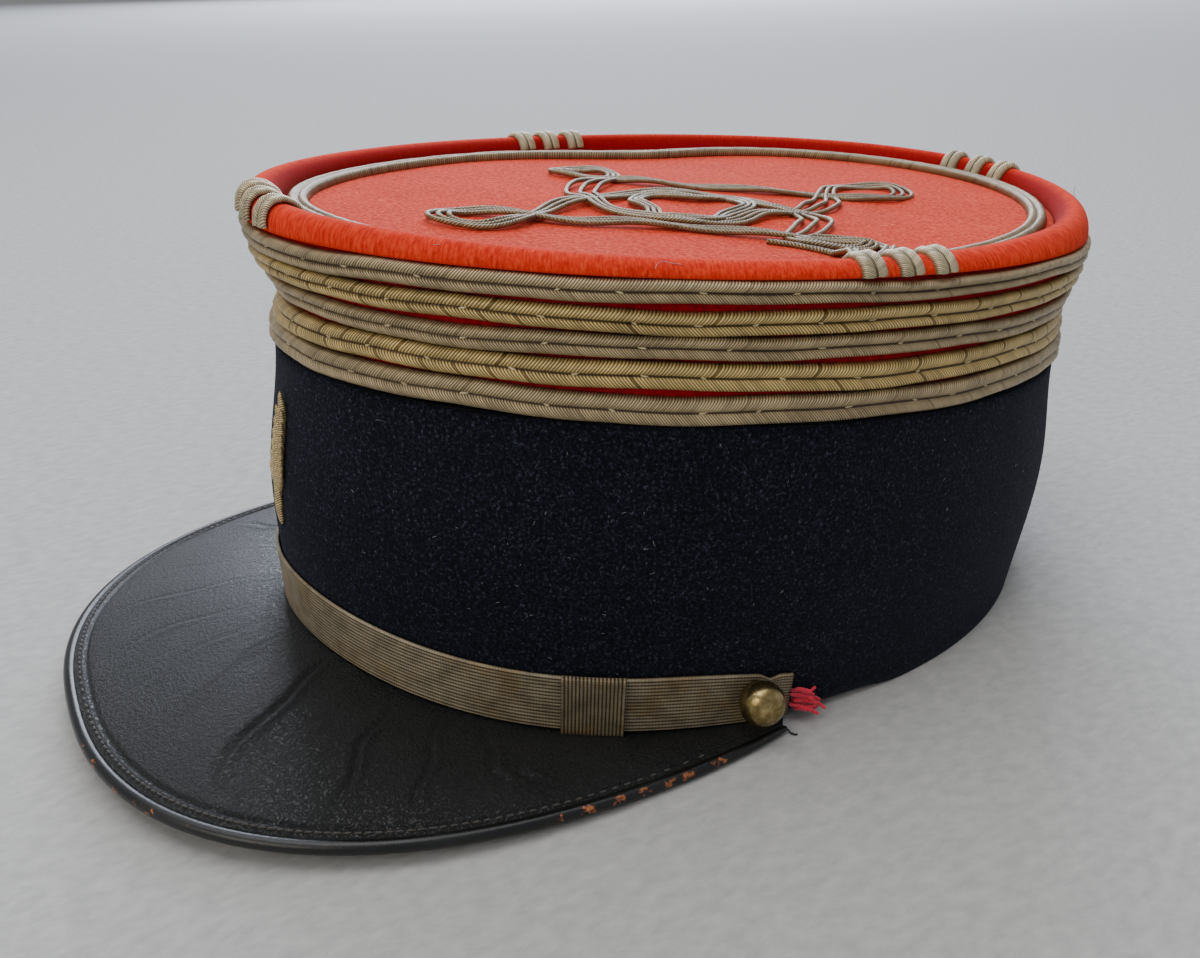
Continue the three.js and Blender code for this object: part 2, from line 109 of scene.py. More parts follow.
def copiesOf(name, base, places):
    # one mesh from many placed copies of a small modelled piece
    shape = coordinates(base)
    loops = [list(face.vertices) for face in base.data.polygons]
    count = len(shape)
    points = np.concatenate([shape @ turn.T + spot for turn, spot in places])
    faces = [[index + copy * count for index in face] for copy in range(len(places)) for face in loops]
    bpy.data.objects.remove(base, do_unlink=True)
    piece = meshPiece(name, points, faces)
    threadMap(piece, np.tile(shape[:, 0], len(places)) / mm, np.tile(shape[:, 1], len(places)) / mm)
    return piece


def finish(piece, material, slot, *nodes):
    piece.data.materials.clear()
    piece.data.materials.append(material)
    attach(piece, "root")
    if nodes:
        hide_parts(*nodes)
    return piece


wallRows = [
    {"halfLength": 100, "halfWidth": 78, "centreY": -4, "front": 12.4, "back": 0},
    {"halfLength": 101.8, "halfWidth": 80.8, "centreY": -2, "front": 44, "back": 29},
    {"halfLength": 98.3, "halfWidth": 79.4, "centreY": 0, "front": 75.6, "back": 58.1},
    {"halfLength": 104, "halfWidth": 78, "centreY": 3, "front": 102.7, "back": 84.3},
]
eggShape = 0.078
rimLean = {"rise": 5, "power": 1.3}
waist = {
    "level": 2.44, "spread": 0.2, "all": 0.8, "back": 1.4,
    "front": 4.2, "frontTurn": 335, "frontSpread": 28,
}
bandEdge = {"overPeak": 1.6, "foreheadRise": 12, "power": 3.8, "restFrom": 98, "liftedFrom": 90}
crest = {"middle": 100.4, "alongSlope": -0.069, "acrossSlope": -0.033, "saddle": 1.1}
recess = 4.5
cloth = 2
crownInset = 1.2
plateLow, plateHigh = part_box("top_plate")
capShift = (plateLow[1] + plateHigh[1]) / 2 - wallRows[3]["centreY"] * mm


def bump(value, middle, spread):
    return np.exp(-((value - middle) / spread) ** 2)


def bandEdgeHeight(turn):
    away = np.degrees(np.arccos(np.cos(turn)))
    share = np.clip((away - bandEdge["liftedFrom"]) / (bandEdge["restFrom"] - bandEdge["liftedFrom"]), 0, 1)
    lifted = 1 - share * share * (3 - 2 * share)
    forward = np.clip(np.cos(turn), 0, 1)
    return bandEdge["overPeak"] * lifted + bandEdge["foreheadRise"] * forward ** bandEdge["power"]


def ovalPoint(row, turn):
    x = row["halfWidth"] * np.sin(turn) * (1 - eggShape * np.cos(turn))
    y = row["centreY"] - row["halfLength"] * np.cos(turn)
    z = row["front"] + (row["back"] - row["front"]) * (1 - np.cos(turn)) / 2
    if row is wallRows[3]:
        z = z + rimLean["rise"] * np.clip(-np.sin(turn), 0, 1) ** rimLean["power"]
    return np.stack([x, y, z], -1)


def outward(row, turn):
    sideways = row["halfWidth"] * (np.cos(turn) - eggShape * np.cos(2 * turn))
    backward = row["halfLength"] * np.sin(turn)
    length = np.hypot(sideways, backward)
    return np.stack([backward / length, -sideways / length, 0 * length], -1)


def waistDepth(turn, level):
    degrees = np.mod(np.degrees(turn), 360)
    front = bump(degrees, waist["frontTurn"], waist["frontSpread"])
    front = front + bump(degrees + 360, waist["frontTurn"], waist["frontSpread"])
    depth = waist["all"] + waist["back"] * np.clip(-np.cos(turn), 0, 1) + waist["front"] * front
    return depth * bump(level, waist["level"], waist["spread"])


def wallPoint(turn, level, offset):
    # a point on the wall in mm: level 0 to 3 runs up through the rows, offset is level and outward
    turn, level, offset = np.broadcast_arrays(turn, level, offset)
    column = [ovalPoint(row, turn) for row in wallRows]
    column[0][..., 2] = bandEdgeHeight(turn)
    column = [2 * column[0] - column[1]] + column + [2 * column[3] - column[2]]
    column = np.stack(column)
    below = np.clip(np.floor(level), 0, 2).astype(int)
    share = (level - below)[..., None]
    near = [np.take_along_axis(column, (below + step)[None, ..., None], 0)[0] for step in range(4)]
    gaps = [np.sqrt(np.linalg.norm(near[i + 1] - near[i], axis=-1, keepdims=True)) for i in range(3)]
    rises = [(near[i + 1] - near[i]) / gaps[i] for i in range(3)]
    firstSlope = (rises[0] + rises[1] - (near[2] - near[0]) / (gaps[0] + gaps[1])) * gaps[1]
    lastSlope = (rises[1] + rises[2] - (near[3] - near[1]) / (gaps[1] + gaps[2])) * gaps[1]
    curve = near[1] + firstSlope * share
    curve = curve + (3 * (near[2] - near[1]) - 2 * firstSlope - lastSlope) * share ** 2
    curve = curve + (2 * (near[1] - near[2]) + firstSlope + lastSlope) * share ** 3
    return curve + outward(wallRows[2], turn) * (offset - waistDepth(turn, level))[..., None]


def levelAtHeight(turn, height):
    return height / (wallPoint(turn, 1, 0)[..., 2] - wallPoint(turn, 0, 0)[..., 2])


def crestHeight(x, y):
    row = wallRows[3]
    endwise = ((y - row["centreY"]) / row["halfLength"]) ** 2
    sidewise = (x / row["halfWidth"]) ** 2
    lean = crest["middle"] + crest["alongSlope"] * y + crest["acrossSlope"] * x
    return lean + crest["saddle"] * (endwise - sidewise)


def plateHeight(x, y):
    return crestHeight(x, y) - recess


def rimPoint(turn, offset):
    turn, offset = np.broadcast_arrays(turn, offset)
    return ovalPoint(wallRows[3], turn) + outward(wallRows[3], turn) * offset[..., None]


def topPoint(turn, offset, lift):
    point = rimPoint(turn, offset)
    point[..., 2] = plateHeight(point[..., 0], point[..., 1]) + lift
    return point


def inFrame(points):
    return points * mm + np.array([0, capShift, 0])


def arcLength(turn, level):
    # distance round the wall, in mm, from the front
    turns = np.linspace(0, 2 * np.pi, 1441)
    path = wallPoint(turns, level, 0)
    run = np.concatenate([[0], np.cumsum(np.linalg.norm(np.diff(path, axis=0), axis=1))])
    return np.interp(np.mod(turn, 2 * np.pi), turns, run), run[-1]


def layAttributes(piece, attributes):
    if "along" in attributes:
        threadMap(piece, attributes["along"], attributes["across"], attributes.get("full", 0))
    for key in ("paintedShade", "wear"):
        if key in attributes:
            pointAttribute(piece, key, attributes[key])


def torusSteps(name, stepsRound, stepsAcross):
    # a torus to reshape, with each vertex's turn round the cap and its step round the section
    deselectAll()
    bpy.ops.mesh.primitive_torus_add(
        major_segments=stepsRound, minor_segments=stepsAcross,
        major_radius=1, minor_radius=0.25, generate_uvs=False)
    piece = named(name)
    start = coordinates(piece)
    turn = np.mod(np.arctan2(start[:, 0], -start[:, 1]), 2 * np.pi)
    turn = np.round(turn / (2 * np.pi) * stepsRound) % stepsRound * (2 * np.pi / stepsRound)
    side = np.arctan2(start[:, 2], np.hypot(start[:, 0], start[:, 1]) - 1) / (2 * np.pi)
    side = np.round(np.mod(side, 1) * stepsAcross) % stepsAcross
    return piece, turn, side.astype(int)


def ringPiece(name, stepsRound, stepsAcross, place):
    # a closed ring whose vertices go where place() says
    piece, turn, side = torusSteps(name, stepsRound, stepsAcross)
    points, attributes = place(turn, side)
    setCoordinates(piece, inFrame(points))
    layAttributes(piece, attributes)
    smoothShade(piece)
    return piece


def waves(turn, *terms):
    # slow unevenness round the cap: each term is waves per turn, height, start
    return sum(height * np.sin(count * turn + start) for count, height, start in terms)


def colour(code):
    parts = [int(code[i:i + 2], 16) / 255 for i in (1, 3, 5)]
    return tuple(c / 12.92 if c <= 0.04045 else ((c + 0.055) / 1.055) ** 2.4 for c in parts) + (1,)


def addNode(tree, kind, inputs, output=0, stops=(), **settings):
    # adds one node; an input is a number, a colour code or another node's output, and stops are a ramp's
    node = tree.nodes.new("ShaderNode" + kind)
    for key, value in settings.items():
        setattr(node, key, value)
    for key, value in inputs.items():
        if isinstance(value, bpy.types.NodeSocket):
            tree.links.new(value, node.inputs[key])
        else:
            node.inputs[key].default_value = colour(value) if isinstance(value, str) else value
    if stops:
        elements = node.color_ramp.elements
        while len(elements) < len(stops):
            elements.new(0.5)
        for element, (place, tone) in zip(elements, stops):
            element.position = place
            element.color = colour(tone) if isinstance(tone, str) else (tone, tone, tone, 1)
    return node.outputs[output]


def newMaterial(name, **shading):
    material = bpy.data.materials.new(name)
    material.use_nodes = True
    tree = material.node_tree
    shader = tree.nodes["Principled BSDF"]
    for key, value in shading.items():
        socket = shader.inputs[key.replace("_", " ")]
        socket.default_value = colour(value) if isinstance(value, str) else value
    place = addNode(tree, "TexCoord", {}, "Object")
    return material, tree, shader, place


def cloudy(place, size, detail=3.0, roughness=0.6, unit=mm):
    # the inputs of a noise whose patches are size mm wide, on coordinates that count in unit
    return {"Vector": place, "Scale": 1 / (size * unit), "Detail": detail, "Roughness": roughness}


mixed = {"data_type": "RGBA", "blend_type": "MIX"}
tinted = {"data_type": "RGBA", "blend_type": "MULTIPLY"}


def bandWool():
    # milled wool broadcloth, piece-dyed blue-black: matt, slightly hairy, with paler fibre ends
    material, tree, shader, place = newMaterial(
        "milledWoolBlueBlack", Roughness=0.95, Specular_IOR_Level=0.12,
        Sheen_Weight=0.12, Sheen_Roughness=0.5, Sheen_Tint="#8f93a6")
    fleck = addNode(tree, "TexNoise", cloudy(place, 0.6667, 3.0, 0.75))  # fibre ends, drawn coarse
    cloud = addNode(tree, "TexNoise", cloudy(place, 22.22))  # uneven dye and wear
    fibres = [(0.3, "#060609"), (0.5, "#10111a"), (0.62, "#252734"), (0.74, "#5b5e70")]
    ground = addNode(tree, "ValToRGB", {"Fac": fleck}, stops=fibres)
    shade = addNode(tree, "ValToRGB", {"Fac": cloud}, stops=[(0.3, 0.75), (0.7, 1.0)])
    tone = addNode(tree, "Mix", {0: 1.0, 6: ground, 7: shade}, 2, **tinted)
    normal = addNode(tree, "Bump", {"Height": fleck, "Strength": 0.6, "Distance": 0.0004})
    tree.links.new(tone, shader.inputs["Base Color"])
    tree.links.new(normal, shader.inputs["Normal"])
    return material


def redWool(name, dark, middle, light, napped):
    # madder-red milled wool with a short nap: matt and soft, brushed straight up and down on the rim,
    # and with painted shade, a darker crimson, where the rim turns inward
    material, tree, shader, place = newMaterial(
        name, Roughness=0.92, Specular_IOR_Level=0.1,
        Sheen_Weight=0.1, Sheen_Roughness=0.4, Sheen_Tint="#ff8a68")
    if napped:
        threads = addNode(tree, "UVMap", {}, "UV", uv_map="threads")
        strokes = addNode(tree, "Mapping", {"Vector": threads, "Scale": (1.0, 0.22, 1.0)})
        nap = addNode(tree, "TexNoise", cloudy(strokes, 0.625, 3.0, 0.7, 1))  # brushed tufts, in the map's mm
    else:
        nap = addNode(tree, "TexNoise", cloudy(place, 0.9091, 3.0, 0.65))  # fibre tufts, drawn coarse
    cloud = addNode(tree, "TexNoise", cloudy(place, 16.67, 4.0))  # handling marks and fading
    ground = addNode(tree, "ValToRGB", {"Fac": nap}, stops=[(0.3, dark), (0.5, middle), (0.72, light)])
    shade = addNode(tree, "ValToRGB", {"Fac": cloud}, stops=[(0.3, 0.88), (0.7, 1.0)])
    even = addNode(tree, "Mix", {0: 1.0, 6: ground, 7: shade}, 2, **tinted)
    # painted shade: a dark crimson mixed in where the rim turns inward
    paintedShade = addNode(tree, "Attribute", {}, "Fac", attribute_name="paintedShade")
    tone = addNode(tree, "Mix", {0: paintedShade, 6: even, 7: "#8c0813"}, 2, **mixed)
    fuzz = addNode(tree, "TexNoise", cloudy(place, 0.6667))
    hairy = addNode(tree, "Bump", {"Height": fuzz, "Strength": 0.35, "Distance": 0.0003})
    normal = addNode(tree, "Bump", {"Height": nap, "Strength": 0.5, "Distance": 0.0004, "Normal": hairy})
    tree.links.new(tone, shader.inputs["Base Color"])
    tree.links.new(normal, shader.inputs["Normal"])
    return material


def metalBraid(look):
    # flattened metal wire wound on a cotton core and braided, with painted shade between the threads and
    # painted highlights on their crests; pitch is the gap between threads in mm, drawn about twice the real
    # one to show
    material, tree, shader, place = newMaterial(look["name"], Roughness=0.42, Metallic=0.35)
    threads = addNode(tree, "UVMap", {}, "UV", uv_map="threads")
    along = addNode(tree, "SeparateXYZ", {"Vector": threads}, "X")
    across = addNode(tree, "SeparateXYZ", {"Vector": threads}, "Y")
    away = addNode(tree, "Math", {0: across}, operation="ABSOLUTE")
    side = addNode(tree, "Math", {0: across, 1: 0.0}, operation="GREATER_THAN")
    lean = addNode(tree, "Math", {0: away, 1: -look["slant"], 2: along}, operation="MULTIPLY_ADD")
    count = addNode(tree, "Math", {0: lean, 1: look["pitch"]}, operation="DIVIDE")
    phase = addNode(tree, "Math", {0: side, 1: 0.5, 2: count}, operation="MULTIPLY_ADD")
    angle = addNode(tree, "Math", {0: phase, 1: math.pi}, operation="MULTIPLY")
    wave = addNode(tree, "Math", {0: angle}, operation="SINE")
    hump = addNode(tree, "Math", {0: wave}, operation="ABSOLUTE")
    crown = addNode(tree, "Math", {0: hump, 1: 0.7}, operation="POWER")
    whole = addNode(tree, "Math", {0: phase}, operation="FLOOR")
    number = addNode(tree, "Math", {0: side, 1: 37.3, 2: whole}, operation="MULTIPLY_ADD")
    each = addNode(tree, "TexWhiteNoise", {"W": number}, "Value", noise_dimensions="1D")
    fives = addNode(tree, "Math", {0: number, 1: 0.2}, operation="MULTIPLY")  # the threads lie in fives
    within = addNode(tree, "Math", {0: fives}, operation="FRACT")
    first = addNode(tree, "Math", {0: within, 1: 0.15}, operation="LESS_THAN")
    bunch = addNode(tree, "Math", {0: fives}, operation="FLOOR")
    luck = addNode(tree, "TexWhiteNoise", {"W": bunch}, "Value", noise_dimensions="1D")
    chosen = addNode(tree, "Math", {0: luck, 1: 0.68}, operation="GREATER_THAN")
    parted = addNode(tree, "Math", {0: chosen, 1: look["bunched"]}, operation="MULTIPLY")
    split = addNode(tree, "Math", {0: first, 1: parted}, operation="MULTIPLY")
    held = addNode(tree, "Math", {0: 1.0, 1: split}, operation="SUBTRACT")
    raised = addNode(tree, "Math", {0: crown, 1: held}, operation="MULTIPLY")
    # painted shade along the groove between the two ridges
    centre = addNode(tree, "Math", {0: away, 1: 0.0, 2: look["groove"]}, operation="COMPARE")
    trench = addNode(tree, "Math", {0: centre, 1: -0.75, 2: 1.0}, operation="MULTIPLY_ADD")
    relief = addNode(tree, "Math", {0: raised, 1: trench}, operation="MULTIPLY")
    # colour from the relief: painted shade in the gaps, the groove and the parted bunches, painted highlights
    # on the crests
    metal = [(0.08, look["gap"]), (0.55, look["body"]), (0.97, look["crest"])]
    ground = addNode(tree, "ValToRGB", {"Fac": relief}, stops=metal)
    varied = addNode(tree, "ValToRGB", {"Fac": each}, stops=[(0.0, 0.74), (0.6, 0.98), (1.0, 1.0)])
    cloud = addNode(tree, "TexNoise", cloudy(place, 8.333, 4.0))  # tarnish
    stain = addNode(tree, "ValToRGB", {"Fac": cloud}, stops=[(0.3, 0.68), (0.58, 1.0)])
    thread = addNode(tree, "Mix", {0: 1.0, 6: ground, 7: varied}, 2, **tinted)
    tone = addNode(tree, "Mix", {0: 1.0, 6: thread, 7: stain}, 2, **tinted)
    normal = addNode(tree, "Bump", {"Height": relief, "Strength": 0.7, "Distance": 0.00022})
    tree.links.new(tone, shader.inputs["Base Color"])
    tree.links.new(normal, shader.inputs["Normal"])
    return material


def ribbedLace():
    # flat woven metal lace: hard ribs of wire over cotton, tarnished grey-brown with gold left in patches;
    # the map counts ribs across, and weft threads lie 0.6 mm apart along
    material, tree, shader, place = newMaterial("tarnishedMetalLace", Roughness=0.48, Metallic=0.4)
    threads = addNode(tree, "UVMap", {}, "UV", uv_map="threads")
    along = addNode(tree, "SeparateXYZ", {"Vector": threads}, "X")
    across = addNode(tree, "SeparateXYZ", {"Vector": threads}, "Y")
    ribAngle = addNode(tree, "Math", {0: across, 1: math.pi}, operation="MULTIPLY")
    ribWave = addNode(tree, "Math", {0: ribAngle}, operation="SINE")
    ribHump = addNode(tree, "Math", {0: ribWave}, operation="ABSOLUTE")
    rib = addNode(tree, "Math", {0: ribHump, 1: 0.5}, operation="POWER")
    weftAngle = addNode(tree, "Math", {0: along, 1: math.pi / 0.6}, operation="MULTIPLY")
    weftWave = addNode(tree, "Math", {0: weftAngle}, operation="SINE")
    weftHump = addNode(tree, "Math", {0: weftWave}, operation="ABSOLUTE")
    weft = addNode(tree, "Math", {0: weftHump, 1: 0.22, 2: 0.78}, operation="MULTIPLY_ADD")
    relief = addNode(tree, "Math", {0: rib, 1: weft}, operation="MULTIPLY")
    # colour from the relief: painted shade between the ribs and weft threads, painted highlights on the rib
    # tops
    metal = [(0.15, "#29221a"), (0.6, "#6b604b"), (0.95, "#9c9074")]
    ground = addNode(tree, "ValToRGB", {"Fac": relief}, stops=metal)
    islands = addNode(tree, "TexNoise", cloudy(place, 11.11, 4.0, 0.65))
    patches = addNode(tree, "ValToRGB", {"Fac": islands}, stops=[(0.5, 0.0), (0.66, 0.55)])
    gold = addNode(tree, "Mix", {0: 1.0, 6: ground, 7: "#f0d29a"}, 2, **tinted)
    gilded = addNode(tree, "Mix", {0: patches, 6: ground, 7: gold}, 2, **mixed)
    spots = addNode(tree, "TexNoise", cloudy(place, 3.846, 4.0))
    stain = addNode(tree, "ValToRGB", {"Fac": spots}, stops=[(0.3, 0.6), (0.6, 1.0)])
    tone = addNode(tree, "Mix", {0: 1.0, 6: gilded, 7: stain}, 2, **tinted)
    normal = addNode(tree, "Bump", {"Height": relief, "Strength": 0.6, "Distance": 0.0002})
    tree.links.new(tone, shader.inputs["Base Color"])
    tree.links.new(normal, shader.inputs["Normal"])
    return material


def peakLeather(name, worn):
    # blacked and polished cowhide: fine crazing in the finish, with lines drawn out from the band;
    # the worn one, on the bound edge, is rubbed through to brown
    material, tree, shader, place = newMaterial(name, Specular_IOR_Level=0.45)
    cloud = addNode(tree, "TexNoise", cloudy(place, 22.22, 5.0))
    blacks = [(0.3, "#060706"), (0.55, "#0e100e"), (0.8, "#1a1d19")]
    base = addNode(tree, "ValToRGB", {"Fac": cloud}, stops=blacks)
    craze = addNode(tree, "TexNoise", cloudy(place, 0.8696, 4.0, 0.75))  # cracks in the finish, drawn coarse
    crazed = addNode(tree, "ValToRGB", {"Fac": craze}, stops=[(0.42, 0.0), (0.58, 1.0)])
    depth = 0.1 if worn else 0.8
    normal = addNode(tree, "Bump", {"Height": crazed, "Strength": depth, "Distance": 0.00025})
    if worn:
        gloss = [(0.3, 0.22), (0.7, 0.42)]
        wear = addNode(tree, "Attribute", {}, "Fac", attribute_name="wear")
        patch = addNode(tree, "TexNoise", cloudy(place, 3.333, 6.0, 0.75))
        amount = addNode(tree, "Math", {0: wear, 1: patch}, operation="MULTIPLY")
        mask = addNode(tree, "ValToRGB", {"Fac": amount}, stops=[(0.53, 0.0), (0.57, 1.0)])
        mark = addNode(tree, "ValToRGB", {"Fac": patch}, stops=[(0.5, "#5a2c16"), (0.75, "#c77a45")])
    else:
        gloss = [(0.3, 0.36), (0.7, 0.5)]
        threads = addNode(tree, "UVMap", {}, "UV", uv_map="threads")
        strokes = addNode(tree, "Mapping", {"Vector": threads, "Scale": (1.0, 0.03, 1.0)})
        lines = addNode(tree, "TexNoise", cloudy(strokes, 1.818, 4.0, 0.75, 1))  # in the map's own mm
        drawn = addNode(tree, "ValToRGB", {"Fac": lines}, stops=[(0.4, 0.0), (0.47, 1.0)])
        relief = {"Height": drawn, "Strength": 0.4, "Distance": 0.0003, "Normal": normal}
        normal = addNode(tree, "Bump", relief)
        mask = addNode(tree, "ValToRGB", {"Fac": craze}, stops=[(0.6, 0.0), (0.72, 0.5)])
        mark = "#43473f"
    polish = addNode(tree, "ValToRGB", {"Fac": cloud}, stops=gloss)
    tone = addNode(tree, "Mix", {0: mask, 6: base, 7: mark}, 2, **mixed)
    tree.links.new(tone, shader.inputs["Base Color"])
    tree.links.new(polish, shader.inputs["Roughness"])
    tree.links.new(normal, shader.inputs["Normal"])
    return material


def agedBrass():
    # stamped brass, unlacquered: thin brown patina over the dome, rubbed bright in spots
    material, tree, shader, place = newMaterial("agedStampedBrass", Metallic=0.95, Roughness=0.24)
    patina = addNode(tree, "TexNoise", cloudy(place, 2.381, 6.0, 0.7))
    browns = [(0.32, "#5e5131"), (0.48, "#8d7b4e"), (0.64, "#b09d6c")]
    tone = addNode(tree, "ValToRGB", {"Fac": patina}, stops=browns)
    rough = addNode(tree, "ValToRGB", {"Fac": patina}, stops=[(0.35, 0.36), (0.65, 0.16)])
    normal = addNode(tree, "Bump", {"Height": patina, "Strength": 0.06, "Distance": 0.0003})
    tree.links.new(tone, shader.inputs["Base Color"])
    tree.links.new(rough, shader.inputs["Roughness"])
    tree.links.new(normal, shader.inputs["Normal"])
    return material


def plainThread(name, code, roughness=0.8):
    # twisted cotton, linen or wool thread, dyed: matt and slightly fuzzy
    material, tree, shader, place = newMaterial(name, Roughness=roughness, Sheen_Weight=0.3)
    fuzz = addNode(tree, "TexNoise", cloudy(place, 0.5556, 2.0))
    shade = addNode(tree, "ValToRGB", {"Fac": fuzz}, stops=[(0.3, 0.6), (0.6, 1.0)])
    tone = addNode(tree, "Mix", {0: 1.0, 6: shade, 7: code}, 2, **tinted)
    tree.links.new(tone, shader.inputs["Base Color"])
    return material


# each look's gap colour is painted shade between the threads, and its crest colour a painted highlight
braidLooks = {
    "silver": {
        "name": "tarnishedSilverBraid", "gap": "#42331f", "body": "#957d58", "crest": "#ccb88e",
        "pitch": 0.58, "slant": 0.85, "groove": 0.22, "bunched": 0.25},
    "gilt": {
        "name": "tarnishedGiltBraid", "gap": "#3d2b12", "body": "#a68746", "crest": "#e6cb88",
        "pitch": 0.66, "slant": 0.85, "groove": 0.22, "bunched": 0.6},
    # a paler copy of the silver braid, for the rim ties
    "paleSilver": {
        "name": "paleTieSilverBraid", "gap": "#4d3f28", "body": "#a89670", "crest": "#dccda4",
        "pitch": 0.66, "slant": 0.85, "groove": 0.25, "bunched": 0.3},
    "cordSilver": {
        "name": "tarnishedSilverCord", "gap": "#43351f", "body": "#7b6843", "crest": "#a5916a",
        "pitch": 0.8, "slant": 0.9, "groove": 0.1, "bunched": 0.3},
    "giltSatin": {
        "name": "giltSatinStitch", "gap": "#5a421c", "body": "#b89553", "crest": "#f0dda6",
        "pitch": 0.55, "slant": 0.6, "groove": 0.12, "bunched": 0.0},
}
woolBand = bandWool()
# one madder cloth in three copies: the wall's darker copy is painted shade between the braids, the top's
# greyer copy a painted sheen
woolWall = redWool("madderWoolWall", "#7c0712", "#a00d1c", "#bb1a26", False)
woolRim = redWool("madderWoolRim", "#b3200f", "#dc3419", "#f0552f", True)
woolTop = redWool("madderWoolTop", "#a6281a", "#d23c26", "#e86446", False)
silver = metalBraid(braidLooks["silver"])
gilt = metalBraid(braidLooks["gilt"])
paleSilver = metalBraid(braidLooks["paleSilver"])
cordSilver = metalBraid(braidLooks["cordSilver"])
giltSatin = metalBraid(braidLooks["giltSatin"])
lace = ribbedLace()
leather = peakLeather("blackedCowhide", False)
edgeLeather = peakLeather("blackedCowhideEdge", True)
brass = agedBrass()
waxedThread = plainThread("waxedLinenThread", "#3b352c")
redThread = plainThread("crimsonWoolThread", "#e62444")
blackThread = plainThread("blackLinenThread", "#0c0c0d")
lintFibre = plainThread("paleLint", "#8f9096")
brightWire = plainThread("brightWireStitch", "#ead9a6", 0.4)
print("materials made")


def makeStage():
    deselectAll()
    bpy.ops.mesh.primitive_plane_add(size=60, location=(0, 0, 0))
    floor = named("floor")
    bpy.ops.object.transform_apply(location=True, rotation=True, scale=True)
    # a pale uncoated paper sweep: matt, with a faint tooth drawn out one way
    material, tree, shader, place = newMaterial("palePaper", Roughness=0.9, Specular_IOR_Level=0.2)
    drawnOut = addNode(tree, "Mapping", {"Vector": place, "Scale": (1.0, 0.5, 1.0)})
    tooth = addNode(tree, "TexNoise", cloudy(drawnOut, 2.381, 4.0))
    tone = addNode(tree, "ValToRGB", {"Fac": tooth}, stops=[(0.3, "#a9a9a6"), (0.7, "#bcbcb8")])
    normal = addNode(tree, "Bump", {"Height": tooth, "Strength": 0.35, "Distance": 0.0006})
    tree.links.new(tone, shader.inputs["Base Color"])
    tree.links.new(normal, shader.inputs["Normal"])
    floor.data.materials.append(material)
    lights = [
        {"name": "skyPanel", "place": (-0.2, -0.1, 1.4), "size": 1.3, "power": 14, "tint": "#fdfcff"},
        {"name": "backPanel", "place": (-3.9, 2.2, 2.1), "size": 3.4, "power": 330, "tint": "#e6edff"},
        {"name": "frontPanel", "place": (0.5, -1.3, 0.9), "size": 0.8, "power": 7, "tint": "#fff4e6"},
    ]
    for light in lights:
        data = bpy.data.lights.new(light["name"], "AREA")
        data.size = light["size"]
        data.energy = light["power"]
        data.color = colour(light["tint"])[:3]
        lamp = bpy.data.objects.new(light["name"], data)
        lamp.location = light["place"]
        aim = Vector((0, 0, 0.05)) - Vector(light["place"])
        lamp.rotation_euler = aim.to_track_quat("-Z", "Y").to_euler()
        bpy.context.collection.objects.link(lamp)
    world = bpy.data.worlds.new("studio")
    world.use_nodes = True
    world.node_tree.nodes["Background"].inputs["Color"].default_value = colour("#d9dce4")
    world.node_tree.nodes["Background"].inputs["Strength"].default_value = 0.62
    bpy.context.scene.world = world


def makeCamera():
    view = {"place": (224.7, -146.5, 149.3), "heading": 151.19, "down": 25.57, "roll": -1.4, "lens": 32.87}
    heading, down, roll = (math.radians(view[key]) for key in ("heading", "down", "roll"))
    ahead = Vector((math.cos(down) * math.cos(heading), math.cos(down) * math.sin(heading), -math.sin(down)))
    right = ahead.cross(Vector((0, 0, 1))).normalized()
    up = right.cross(ahead)
    leaned = right * math.cos(roll) + up * math.sin(roll)
    above = up * math.cos(roll) - right * math.sin(roll)
    data = bpy.data.cameras.new("camera")
    data.lens = view["lens"]
    data.sensor_width = 36
    data.clip_start = 0.01
    camera = bpy.data.objects.new("camera", data)
    turn = Matrix((leaned, above, -ahead)).transposed().to_4x4()
    spot = Vector(view["place"]) * mm + Vector((0, capShift, 0))
    camera.matrix_world = Matrix.Translation(spot) @ turn
    bpy.context.collection.objects.link(camera)
    bpy.context.scene.camera = camera


makeStage()
makeCamera()
print("stage and camera made")


def clothRing(name, low, high, rows, stepsRound, outside, ripple):
    # a hollow wall: the outer face goes up, the inner face comes down, with soft folded edges
    half = rows
    steps = 2 * half

    def place(turn, side):
        share = np.where(side < half, side, steps - 1 - side) / (half - 1)
        soft = 0.12 / rows
        level = low + (high - low) * np.clip(share, soft, 1 - soft)
        offset = outside + np.where(side < half, ripple(turn, share), -float(cloth))
        return wallPoint(turn, level, offset), {}

    return ringPiece(name, stepsRound, steps, place)


bandShape = {"rowsUp": 26, "stepsRound": 300}
band = clothRing(
    "wool_band", 0, 1.99, bandShape["rowsUp"], bandShape["stepsRound"], 0,
    lambda turn, share: np.sin(np.pi * share) * waves(turn, (3, 0.25, 0.4), (7, 0.12, 2.0), (13, 0.05, 1.0)))
finish(band, woolBand, "band_cloth", "band")

wallShape = {"rowsUp": 14, "stepsRound": 300}
crownWall = clothRing(
    "red_crown_wall", 2.01, 2.995, wallShape["rowsUp"], wallShape["stepsRound"], -crownInset,
    lambda turn, share: 0 * turn)
finish(crownWall, woolWall, "crown_cloth", "crown_wall")
print("band and crown wall made")


rollShape = {"middle": -3.9, "halfWidth": 3.8, "foot": 0.9, "gap": 0.3, "stepsRound": 420, "stepsAcross": 30}


